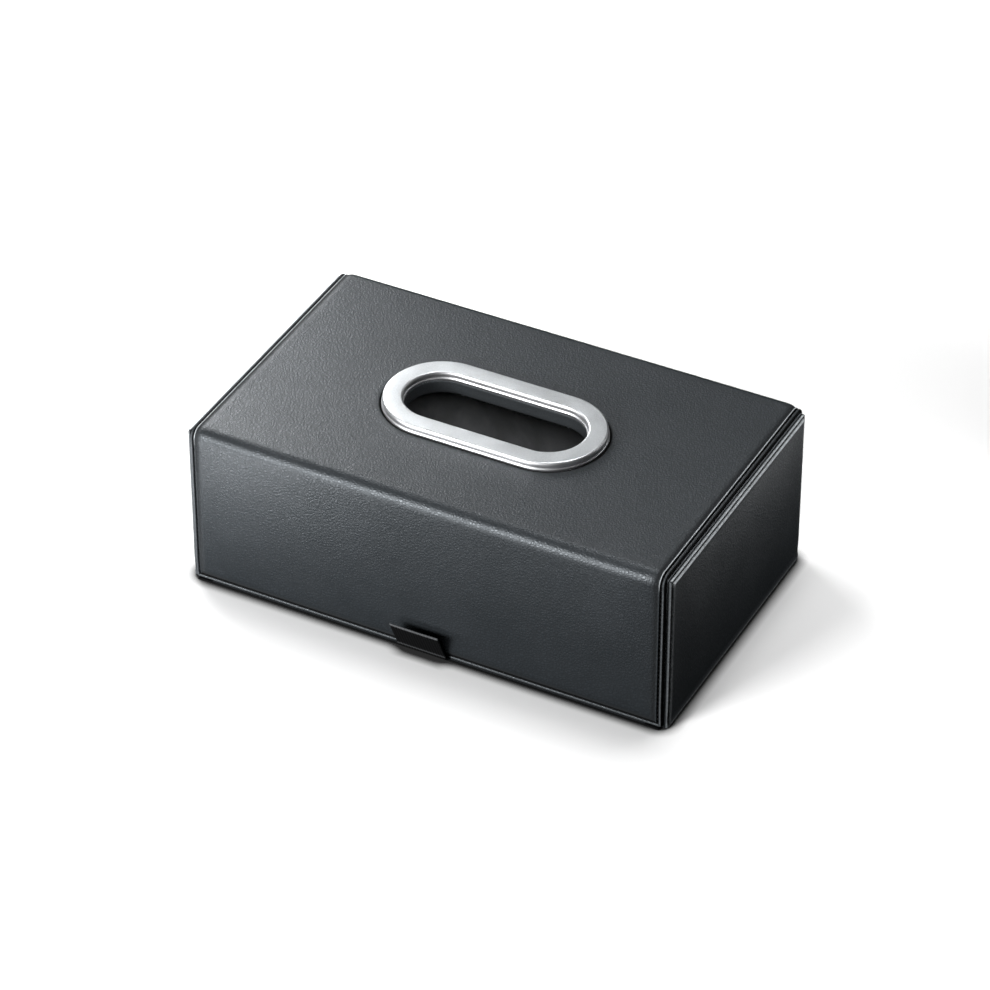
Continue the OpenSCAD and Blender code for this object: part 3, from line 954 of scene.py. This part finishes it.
def endReach(y, z):
    return smoothMin(halfY - abs(y), min(z, panelHigh - z), 0.2)


def endSwell(y, z):
    start = endPanel["swellFrom"]
    t = min(max((z - start) / (panelHigh - 2 * start), 0), 1)
    tuck = endPanel["tuck"] * max(1 - z / 14, 0) ** 2 * smoothStep(2, 5, z)
    return endPanel["swell"] * 4 * t * (1 - t) * smoothStep(start, 24, halfY - abs(y)) - tuck


def endPull(y, z):
    # 1 beside the middle of a stitch, 0 between two stitches
    upright = halfY - abs(y) < min(z, panelHigh - z)
    run = panelHigh - 2 * endPanel["seam"] if upright else 2 * (halfY - endPanel["seam"])
    start = (run % endPanel["pitch"]) / 2
    along = (z if upright else y + halfY) - endPanel["seam"] - start
    return 1 - wave(along, endPanel["pitch"])


def endDepth(y, z):
    rim = endReach(y, z)
    depth = interpolate(endPanel["rim"], rim)
    depth += endPanel["scallop"] * endPull(y, z) * bell(rim - endPanel["seam"] - 0.45, 0.6)
    uneven = 0.05 + ripple(faceX, y, z, 19, 0.08) + ripple(faceX, y, z, 47, 0.07)
    return depth + smoothStep(4.6, 9, rim) * uneven - endSwell(y, z)


def endInside(y, z):
    # the leather's inner face, drawn in at its cut edge
    return endLow.x + 0.01 + (0.12 if endReach(y, z) < 0.3 else 0) + endSwell(y, z)


endRims = [t for t, _ in endPanel["rim"]]
endAcross = rimmedLines(-halfY, halfY, endRims, cellSize, panelStep)
endUp = rimmedLines(0, panelHigh, endRims, cellSize, panelStep)


def endMarks(points):
    # painted highlights on the crests and the top of the cut edge, strongest along the top where light falls;
    # painted shade in the seam's groove and on the panel's inner side; black ink as painted shade on the
    # inner part of the cut edge
    paintedHighlight, shade, inkAndShade = [], [], []
    for x, y, z in points:
        side, rim = halfY - abs(y), min(halfY - abs(y), z, panelHigh - z)
        level = 0.16 + 0.84 * (1 - smoothStep(1.6, 4.0, panelHigh - z)) * smoothStep(0.4, 1.4, side)
        pull, groove = endPull(y, z), bell(rim - endPanel["seam"], 0.42, 4)
        crest = bell(rim - endPanel["bead"], 0.45) * (1 - 0.4 * pull)
        edge = bell(max(rim - 0.06, 0), 0.14) * smoothStep(faceX - 0.5, faceX - 0.1, abs(x))
        paintedHighlight.append(level * (edge + 0.14 * (1 - pull) ** 2 * groove + min(1.9 * crest, 1)))
        inner = 1 - smoothStep(faceX - 0.7, faceX - 0.4, abs(x))
        shade.append(min(0.2 * groove + 0.8 * inner, 1))
        inkAndShade.append(1 if rim < 0.2 and abs(x) < faceX - 0.5 else 0)
    return paintedHighlight, shade, inkAndShade


def makeEndLeather(side, label):
    # outer leather, from the second layer's face outwards
    def place(reach):
        return lambda y, z: (side * reach(y, z), *roundCorner(y, z, endPanel["corner"]))

    points, faces = rimmedSheet(
        endAcross, endUp, [0, 4], place(lambda y, z: faceX - endDepth(y, z)), place(endInside),
    )
    piece = makePiece(label + "EndLeather", points, faces, [boxLeather], "box")
    markLeather(piece, *endMarks(points))
    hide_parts(label + "_end_leather")


def makeEndStitches(side, label):
    points, faces = [], []
    seam, level = endPanel["seam"], faceX - 0.2
    for z, outward in ((seam, -1), (panelHigh - seam, 1)):
        stitchRun(
            points, faces, lambda d, off, up: (side * (level + up), -halfY + seam + d, z + off * outward),
            2 * (halfY - seam), endPanel["pitch"], (0, 0, 1), endPanel["thread"],
        )
    for y in (-halfY + seam, halfY - seam):
        stitchRun(
            points, faces, lambda d, off, up: (side * (level + up), y + off, seam + d),
            panelHigh - 2 * seam, endPanel["pitch"], (0, 1, 0), endPanel["thread"],
        )
    piece = makePiece(label + "EndStitches", points, faces, [waxedThread], "box")
    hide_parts(label + "_end_thread")


def makeEndBinding(side, label):
    # second layer: a flat frame of leather with rounded cut edges
    width = padLow.z - bindLow.z - 0.02
    low, high, middle = bindLow.x, bindHigh.x, (bindLow.x + bindHigh.x) / 2
    section = [
        (0.1, low + 0.02), (0.02, low + 0.12), (0.0, low + 0.25), (0.0, middle), (0.0, high - 0.32),
        (0.03, high - 0.2), (0.1, high - 0.11), (0.24, high - 0.03), (0.5, high - 0.01),
        (width, high - 0.01), (width, low + 0.02),
    ]
    corners = [(-halfY, 0), (halfY, 0), (halfY, panelHigh), (-halfY, panelHigh)]
    nearCorner = [0.002, 0.004, 0.006, 0.008]
    alongSide = [0, *nearCorner, 0.25, 0.5, 0.75, *(1 - q for q in reversed(nearCorner))]
    points, faces, midZ = [], [], panelHigh / 2
    for (y0, z0), (y1, z1) in zip(corners, corners[1:] + corners[:1]):
        for q in alongSide:
            y, z = y0 + (y1 - y0) * q, z0 + (z1 - z0) * q
            for inset, x in section:
                inY, inZ = y * (halfY - inset) / halfY, midZ + (z - midZ) * (midZ - inset) / midZ
                points.append((side * x, *roundCorner(inY, inZ, endPanel["corner"])))
    joinRings(faces, 0, 4 * len(alongSide), len(section), closed=True)
    piece = makePiece(label + "EndBinding", points, faces, [bindingLeather], "box")
    # painted highlight along the top of the cut edge
    giveAttribute(piece, "paintedHighlight", [
        0.6 * smoothStep(panelHigh - 1.5, panelHigh - 0.6, z) * bell(abs(x) - middle, 0.25)
        for x, y, z in points
    ])
    # black ink at the cut edge's rounded corners: painted shade in the gaps to the layers beside it
    inkAndShadeFaces(piece, [1 if abs(abs(x) - middle) > 0.36 else 0 for x, y, z in points])
    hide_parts(label + "_end_binding")


def makeEndPad(side, label):
    # pad inside that frame, a little crowned
    def outerFace(y, z):
        rim = min(padHigh.y - abs(y), z - padLow.z, padHigh.z - z)
        return side * (padHigh.x - 0.02 - 0.35 * math.exp(-rim / 0.8) + endSwell(y, z)), y, z

    ys, zs = evenly(padLow.y + 0.1, padHigh.y - 0.1, 4), evenly(padLow.z + 0.1, padHigh.z - 0.1, 4)
    inner = plainSkin(ys, zs, lambda y, z: (side * (padLow.x + 0.02), y, z))
    points, faces = closeSkins(plainSkin(ys, zs, outerFace), inner)
    piece = makePiece(label + "EndPad", points, faces, [foam], "box")
    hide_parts(label + "_end_pad")


for side, label in ((-1, "left"), (1, "right")):
    makeEndLeather(side, label)
    makeEndStitches(side, label)
    makeEndBinding(side, label)
    makeEndPad(side, label)
print("end panels made")


# metal ring round the slot

ring = {
    # outward from the middle of the band, height above the leather; one side, mirrored for the other
    "side": [
        (4.7, -0.5), (4.7, 0.36), (4.68, 0.52), (4.62, 0.66), (4.52, 0.76), (4.42, 0.84), (4.35, 0.94),
        (4.31, 1.1), (4.3, 1.34), (4.32, 1.62), (4.34, 1.92), (4.34, 2.22), (4.31, 2.5), (4.25, 2.76),
        (4.16, 2.98), (4.05, 3.16), (3.93, 3.31), (3.82, 3.42), (3.72, 3.5), (3.6, 3.555), (3.45, 3.59),
        (3.25, 3.6),
    ],
    "satinFrom": 3.75,  # the flat inside this offset is satin, the rest is polished
    "steps": 48,
    "postOuter": 2.2,  # radius of the posts that the screws go into
    "postInner": 1.26,
}
ringMid = (ringWide + liningWide - bandThick) / 2
ringRun = ringHigh.x - ringWide
ringFoot = wrapHigh.z
profile = ring["side"] + [(-out, up) for out, up in reversed(ring["side"])]
profile = [(ringMid + out, ringFoot + up) for out, up in profile]
points, faces = sweepLoop(profile, stadiumPath(ringRun, ring["steps"]))


def onSatin(x, y, z):
    fromMiddle = math.hypot(max(abs(x) - ringRun, 0), y - slotY) - ringMid
    return abs(fromMiddle) <= ring["satinFrom"] and z > ringFoot + 2


whichMaterial = [0 if all(onSatin(*points[v]) for v in face) else 1 for face in faces]

# hollow posts under the ring
postOuter, postInner, sides = ring["postOuter"], ring["postInner"], 24
postSpots = [(side * (ringRun + ringMid), slotY) for side in (-1, 1)]
postSpots += [(sx * ringRun, sy * ringMid + slotY) for sx in (-1, 1) for sy in (-1, 1)]
postSection = [
    (postOuter, ringFoot + 0.3), (postOuter, ringLow.z + 0.2), (postOuter - 0.2, ringLow.z),
    (postInner, ringLow.z), (postInner, ringFoot - 2),
]
turns = [2 * math.pi * k / sides for k in range(sides)]
for cx, cy in postSpots:
    start = len(points)
    points += [(cx + r * math.cos(a), cy + r * math.sin(a), z) for r, z in postSection for a in turns]
    joinRings(faces, start, len(postSection), sides, closed=False)
whichMaterial += [1] * (len(faces) - len(whichMaterial))
slotRing = makePiece("slotRing", points, faces, [satin, polished], "box", whichMaterial)
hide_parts("slot_ring")
print("slot ring made")


# leather band that lines the slot

inner, low, high = liningWide - bandThick, liningLow.z, liningHigh.z
section = [
    (liningWide, high), (liningWide, low + 0.3), (liningWide - 0.1, low + 0.08),
    (inner + bandThick / 2, low), (inner + 0.1, low + 0.08), (inner, low + 0.3), (inner, low + 0.9),
    (inner + 0.03, low + 2.2), (inner + 0.05, (low + high) / 2), (inner + 0.03, high - 1.5), (inner, high),
]
points, faces = sweepLoop(section, stadiumPath(ringRun, 40, 30))
points = [(x + ripple(x, y, z, 5, 0.05), y + ripple(y, x, z, 5, 0.05), z) for x, y, z in points]
slotBand = makePiece("slotBand", points, faces, [slotLeather], "box")
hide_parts("slot_lining")
print("slot band made")


# linings of the room

def wallSheet():
    # one strip round the walls, with small round corners, turned at its lower edge
    thick, corner = 0.5, 1.2
    roomX, roomY = wallHigh.x - thick, wallHigh.y - thick
    path = []
    for sx, sy, turn in ((1, -1, -90), (1, 1, 0), (-1, 1, 90), (-1, -1, 180)):
        cx, cy = sx * (roomX - corner), sy * (roomY - corner)
        for k in range(7):
            a = math.radians(turn + 90 * k / 6)
            path.append((cx, cy, math.cos(a), math.sin(a)))
        nextX, nextY = (cx, -cy) if sx * sy < 0 else (-cx, cy)
        for k in range(1, 16):
            path.append((cx + (nextX - cx) * k / 16, cy + (nextY - cy) * k / 16, math.cos(a), math.sin(a)))
    low, high = wallLow.z, wallHigh.z
    section = [
        (corner + 0.46, high), (corner + 0.46, low + 0.15), (corner + 0.3, low), (corner + 0.12, low),
        (corner, low + 0.15), *((corner, z) for z in evenly(low + 1.5, high, 4)),
    ]
    points, faces = sweepLoop(section, path)
    return [(x - math.copysign(max(0, ripple(x, y, z, 8, 0.1)), x), y, z) for x, y, z in points], faces


points, faces = wallSheet()
wallLining = makePiece("wallLining", points, faces, [flock], "box")
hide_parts("wall_lining")

topLow, topHigh = sizeOf("top_lining")
plateHigh = sizeOf("ring_backplate")[1]
holeX, holeY = 60, 36  # lines of the lining that frame the backplate
coverXs = stepsThrough([topLow.x + 0.05, -holeX, holeX, topHigh.x - 0.05], 6)
coverYs = stepsThrough([topLow.y + 0.05, -holeY, holeY, topHigh.y - 0.05], 6)


def coverSkin(level):
    hole = {
        "i": [coverXs.index(x) for x in (-holeX, holeX)], "j": [coverYs.index(y) for y in (-holeY, holeY)],
        "edge": lambda x, y, loop: (*stadiumEdge(x, y, ringRun, plateHigh.y - slotY + 0.15), level),
        "loops": 1,
    }
    return plainSkin(coverXs, coverYs, lambda x, y: (x, y, level + ripple(x, y, level, 9, 0.04)), hole)


points, faces = closeSkins(coverSkin(topHigh.z - 0.05), coverSkin(topLow.z + 0.04))
topLining = makePiece("topLining", points, faces, [flock], "box")
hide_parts("top_lining")

linLow, linHigh = sizeOf("flap_lining")


def liningSkin(level, side):
    # softly uneven, with turned edges
    def place(x, y):
        rim = min(x - linLow.x, linHigh.x - x, y - linLow.y, linHigh.y - y)
        sink = side * 0.12 * math.exp(-rim / 0.5)
        return x, y, level - sink + (ripple(x, y, level, 9, 0.05) if rim > 0.1 else 0)

    return plainSkin(evenly(linLow.x, linHigh.x, 5), evenly(linLow.y, linHigh.y, 5), place)


points, faces = closeSkins(liningSkin(linHigh.z - 0.03, 1), liningSkin(linLow.z + 0.01, -1))
flapLining = makePiece("flapLining", points, faces, [flock], "flap")
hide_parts("flap_lining")
print("linings made")


# flap's leather, one sheet that runs on as the hinge

flap = {
    # distance from the cut edge, height above the resting face
    "rim": [
        (0.0, 0.32), (0.08, 0.14), (0.22, 0.04), (0.45, 0.0), (1.2, 0.0), (1.9, 0.03), (2.3, 0.12),
        (2.55, 0.24), (2.8, 0.28), (3.05, 0.24), (3.3, 0.12), (3.8, 0.03), (4.6, 0.0), (5.6, 0.0),
    ],
    "seam": 2.8,
    "pitch": 2.5,
    "bendFrom": 61.9,  # the leather bends between the back wall and the flap's board
    "bendTo": 60.5,
    "fineFrom": 59.9,  # closer lines across, so that it bends smoothly
    "fineTo": 62.5,
}
flapX, flapFront, flapBack, flapThick = flapHigh.x, flapLow.y, stripHigh.y, flapHigh.z
flapRims = [t for t, _ in flap["rim"]]
flapAcross = rimmedLines(-flapX, flapX, flapRims, 5, panelStep)
flapAlong = fineLines(
    ([flapFront + t for t in flapRims], []),
    stepsThrough([flapFront + flapRims[-1] + 1, flap["fineFrom"], flap["fineTo"], flapBack], 5, 0.26, 1.3),
    panelStep,
)


def flapUnder(x, y):
    rim = smoothMin(flapX - abs(x), y - flapFront, 0.2)
    depth = interpolate(flap["rim"], rim)
    along = y if flapX - abs(x) < y - flapFront else x
    return x, y, depth + 0.08 * bell(rim - flap["seam"], 0.7) * wave(along, flap["pitch"])


def flapUpper(x, y):
    return x, y, flapThick - 0.01 - (0.1 if flapX - abs(x) < 0.2 or y - flapFront < 0.2 else 0)


points, faces = rimmedSheet(flapAcross, flapAlong, [0, 3], flapUnder, flapUpper)
flapLeather = makePiece("flapLeather", points, faces, [boxLeather], None)
flapReach = [min(flapX - abs(x), y - flapFront) for x, y, z in points]
# a faint painted highlight a little in from the cut edge; painted shade along the cut edge, its faces there
# in black ink
flapHighlight = [0.1 * bell(rim - 0.9, 0.3) for rim in flapReach]
flapShade = [bell(rim, 0.6) for rim in flapReach]
markLeather(flapLeather, flapHighlight, flapShade, flapShade, limit=0.4)
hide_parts("flap_leather", "hinge_strip")
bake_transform(flapLeather)

points, faces = [], []
level, seam = 0.3, flap["seam"]
frontY, sideEnd = flapFront + seam, stripLow.y + 6
stitchRun(
    points, faces, lambda d, off, up: (-flapX + seam + d, frontY + off, level - up),
    2 * (flapX - seam), flap["pitch"], (0, 1, 0),
)
for side in (-1, 1):
    stitchRun(
        points, faces, lambda d, off, up: (side * (flapX - seam + off), frontY + d, level - up),
        sideEnd - frontY, flap["pitch"], (1, 0, 0),
    )
makePiece("flapStitches", points, faces, [waxedThread], "flap")
print("flap leather made")


# pull tab, one ribbed strip with its tail under the flap's board

tab = {
    "thick": 1.0,
    "ribs": 17,
    "ribDepth": 0.16,
    "lean": 25.0,  # degrees from the wall
    "length": 18.0,  # from the fold to the tip
    "foldRadius": 0.9,
    "bulge": 0.15,  # how far the strip is curved across, at its tip
    "footLine": 3.6,  # height of the painted highlight line across its foot
}
tailHigh = sizeOf("tab_tail")[1]
tabHalf = tailHigh.x
joint = next(j for j in frame["joints"] if j["name"] == "tab_fold")
foldY, foldZ = joint["pos_m"][1] / mm, joint["pos_m"][2] / mm


def tabCentre(d):
    # centre line of the strip and its turn, d from the tail's end
    turn, radius = math.radians(90 - tab["lean"]), tab["foldRadius"]
    straight = foldY + radius * math.tan(turn / 2)
    run = tailHigh.y - straight
    if d <= run:
        return tailHigh.y - d, foldZ, 0.0
    a = min((d - run) / radius, turn)
    y, z = straight - radius * math.sin(a), foldZ + radius * (1 - math.cos(a))
    rest = max(d - run - radius * turn, 0)
    return y - rest * math.cos(turn), z + rest * math.sin(turn), a


foldAt = tailHigh.y - foldY
tabRun = foldAt + tab["length"]
across = evenly(-tabHalf, tabHalf, tabHalf / tab["ribs"] / 3)
stations = stepsThrough([0, foldAt - 2, foldAt + 2, tabRun], 2.5, 0.25, 0.5)


def tabSkin(side):
    def place(x, d):
        y, z, a = tabCentre(d)
        up = Vector((0, math.sin(a), math.cos(a)))
        rim = min(tabHalf - abs(x), tabRun - d)
        rib = 1 - wave(x + tabHalf, 2 * tabHalf / tab["ribs"])
        out = tab["thick"] / 2 - tab["ribDepth"] * rib * smoothStep(0.3, 1.0, rim)
        out -= 0.28 * math.exp(-max(rim, 0) / 0.12)
        bulge = tab["bulge"] * (1 - (x / tabHalf) ** 2) * smoothStep(foldAt, tabRun, d)
        return tuple(Vector((x, y, z)) + up * (side * out - bulge))
    return plainSkin(across, stations, place)


points, faces = closeSkins(tabSkin(1), tabSkin(-1))
pullTab = makePiece("pullTab", points, faces, [tabLeather], None)
tip = foldZ + tab["length"] * math.cos(math.radians(tab["lean"]))
# painted highlight along the tip and across the foot; the cut sides slightly paler
giveAttribute(pullTab, "paintedHighlight", [
    smoothStep(tip - 0.9, tip - 0.4, z) + bell(z - tab["footLine"], 0.4) + 0.2 * bell(tabHalf - abs(x), 0.15)
    for x, y, z in points
])
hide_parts("tab_tail", "pull_tab")
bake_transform(pullTab)
print("pull tab made")


# finishes of the CAD parts that stay

finishes = {
    fibreBoard: ["top_board", "front_board", "back_board", "left_end_board", "right_end_board", "flap_board"],
    flock: ["magnet_ledge"],
    zinc: ["ring_backplate", "ring_screws"],
    nickel: ["ledge_magnets", "flap_magnets"],
}
for material, nodes in finishes.items():
    for node in nodes:
        part = frame["nodes"][node]
        part.data.materials.clear()
        part.data.materials.append(material)
print("CAD parts finished")


# floor, light and camera

studio = {
    "floorColour": (0.93, 0.93, 0.93),
    "contact": 0.0058,  # reach of the contact shade round the foot
    "floorGlow": 0.03,  # seen by the camera only
    "floorInGloss": (0.0, 0.0, 0.0),  # what shiny faces show of the floor
    "floorBounce": (0.16, 0.16, 0.16),  # what the floor gives back to the object
    "whiteFrom": (0.33, 0.75),  # distances over which the floor turns to plain white
    "world": 0.01,
    "lamps": {
        # name: (place, aim, width, height, watts)
        "overhead": ((0.1, 0.2, 1.0), (0, 0, 0), 0.35, 0.35, 6.05),
        "backLeftLow": ((-0.45, 0.30, 0.36), (-0.11, -0.05, 0.079), 0.25, 0.25, 2.85),
        "backLeftNear": ((-0.5, 0.12, 0.4), (-0.11, -0.05, 0.079), 0.25, 0.25, 0.72),
        "backLeftFar": ((-0.65, 1.25, 1.05), (0, 0, 0.06), 0.9, 0.7, 1.37),
        "frontLeftFar": ((-0.5, -1.2, 0.51), (0, 0, 0.06), 0.5, 0.29, 29.5),
        "frontFloorStrip": ((0.0, -0.25, 0.02), (0.03, -0.067, 0.05), 0.3, 0.03, 0.16),
        "frontLeftGraze": ((-0.15, -0.17, 0.018), (-0.09, -0.067, 0.06), 0.12, 0.024, 0.205),
        "rightFloor": ((0.24, 0.06, 0.03), (0.111, -0.02, 0.06), 0.24, 0.05, 0.118),
        "backRight": ((0.72, 0.85, 0.44), (0.11, 0, 0.07), 0.25, 0.2, 0.8),
        "slotFill": ((0.39, -0.77, 0.9), (0, 0, 0.08), 0.3, 0.3, 15.0),
    },
    "notOnFloor": ["frontFloorStrip", "frontLeftGraze"],
    "insideOnly": ["slotFill"],
    "pastTab": ["overhead", "backLeftFar"],  # the pull tab throws no shadow of these
}


def floorMaterial():
    material = bpy.data.materials.new("paleFloor")
    material.use_nodes = True
    tree = material.node_tree
    tree.nodes.clear()

    def plain(colour):
        return addNode(tree, "BsdfDiffuse", Color=colour).outputs[0]

    def choose(factor, a, b):
        return feedInOrder(tree, addNode(tree, "MixShader"), (factor, a, b))

    # soft contact shade where the box stands, from ambient occlusion put into the floor's colour
    near = addNode(tree, "AmbientOcclusion", samples=24, Distance=studio["contact"])
    clear = remap(tree, near.outputs["AO"], 0.5, 1.0, 0.04, 1.0)
    pale = plain(mixColour(tree, clear, (0.0, 0.0, 0.0), studio["floorColour"]))

    # past the lamps' reach the floor stays white
    spot = addNode(tree, "NewGeometry").outputs
    where = addNode(tree, "VectorMath", operation="LENGTH", Vector=spot["Position"])
    far = remap(tree, where.outputs["Value"], *studio["whiteFrom"], 0.0, 0.9)
    glow = addNode(tree, "Emission", Strength=maths(tree, "MULTIPLY_ADD", clear, studio["floorGlow"], far))
    seen = feedInOrder(tree, addNode(tree, "AddShader"), (pale, glow.outputs[0]))

    # seen from below the floor is clear, so that the open flap shows
    rays = addNode(tree, "LightPath").outputs
    direct = maths(tree, "MAXIMUM", rays["Is Camera Ray"], rays["Is Transmission Ray"])
    others = choose(rays["Is Glossy Ray"], plain(studio["floorBounce"]), plain(studio["floorInGloss"]))
    clearPane = addNode(tree, "BsdfTransparent").outputs[0]
    whole = choose(spot["Backfacing"], choose(direct, others, seen), clearPane)
    addNode(tree, "OutputMaterial", Surface=whole)
    return material


def makeFloor():
    work = bmesh.new()
    bmesh.ops.create_grid(work, x_segments=8, y_segments=8, size=5)
    mesh = bpy.data.meshes.new("floor")
    work.to_mesh(mesh)
    work.free()
    mesh.materials.append(floorMaterial())
    floor = addObject("floor", mesh)
    floor.location.z = cadLow.z - 0.00005


def makeWorld():
    world = bpy.data.worlds.new("paleStudio")
    scene.world = world
    world.use_nodes = True
    tree = world.node_tree
    tree.nodes.clear()
    # faint as light, white where the camera sees past the floor
    seen = addNode(tree, "LightPath").outputs["Is Camera Ray"]
    fill = addNode(tree, "Background", Color=(1, 1, 1), Strength=studio["world"]).outputs[0]
    white = addNode(tree, "Background", Color=(1, 1, 1), Strength=1.0).outputs[0]
    addNode(tree, "OutputWorld", Surface=feedInOrder(tree, addNode(tree, "MixShader"), (seen, fill, white)))


def makeLamps():
    def linkSet(name, pieces, state="INCLUDE"):
        # the pieces that a lamp lights or is shadowed by; a set that only excludes means all the others
        links = bpy.data.collections.new(name)
        for piece in pieces:
            links.objects.link(piece)
        for entry in links.collection_objects:
            entry.light_linking.link_state = state
        return links

    inside = linkSet("inside", (wallLining, topLining, flapLining, slotBand))
    besideTab = linkSet("besideTab", [pullTab], "EXCLUDE")
    besideFloor = linkSet("besideFloor", [bpy.data.objects["floor"]], "EXCLUDE")
    for name, (place, aim, width, height, watts) in studio["lamps"].items():
        lamp = bpy.data.lights.new(name, "AREA")
        lamp.shape, lamp.size, lamp.size_y, lamp.energy = "RECTANGLE", width, height, watts
        holder = addObject(name, lamp)
        holder.location = place
        holder.rotation_euler = (Vector(aim) - Vector(place)).to_track_quat("-Z", "Y").to_euler()
        holder.visible_camera = False
        if name in studio["notOnFloor"]:
            holder.light_linking.receiver_collection = besideFloor
        if name in studio["pastTab"]:
            holder.light_linking.blocker_collection = besideTab
        if name in studio["insideOnly"]:
            holder.light_linking.receiver_collection = inside


def makeCamera():
    view = {
        "azimuth": 27.449, "elevation": 37.018, "lens": 166.4, "distance": 1.9263,
        "target": (-0.00078, -0.00055, 0.038),
    }
    azimuth, elevation = math.radians(view["azimuth"]), math.radians(view["elevation"])
    level = math.cos(elevation)
    back = Vector((math.sin(azimuth) * level, -math.cos(azimuth) * level, math.sin(elevation)))
    lens = bpy.data.cameras.new("photoCamera")
    lens.lens, lens.sensor_width, lens.sensor_fit = view["lens"], 36.0, "HORIZONTAL"
    lens.clip_start, lens.clip_end = 0.05, 30
    camera = addObject("photoCamera", lens)
    camera.location = Vector(view["target"]) + back * view["distance"]
    camera.rotation_mode = "QUATERNION"
    camera.rotation_quaternion = (-back).to_track_quat("-Z", "Y")
    scene.camera = camera


makeFloor()
makeWorld()
makeLamps()
makeCamera()
scene.view_settings.view_transform = "Standard"
print("studio made")
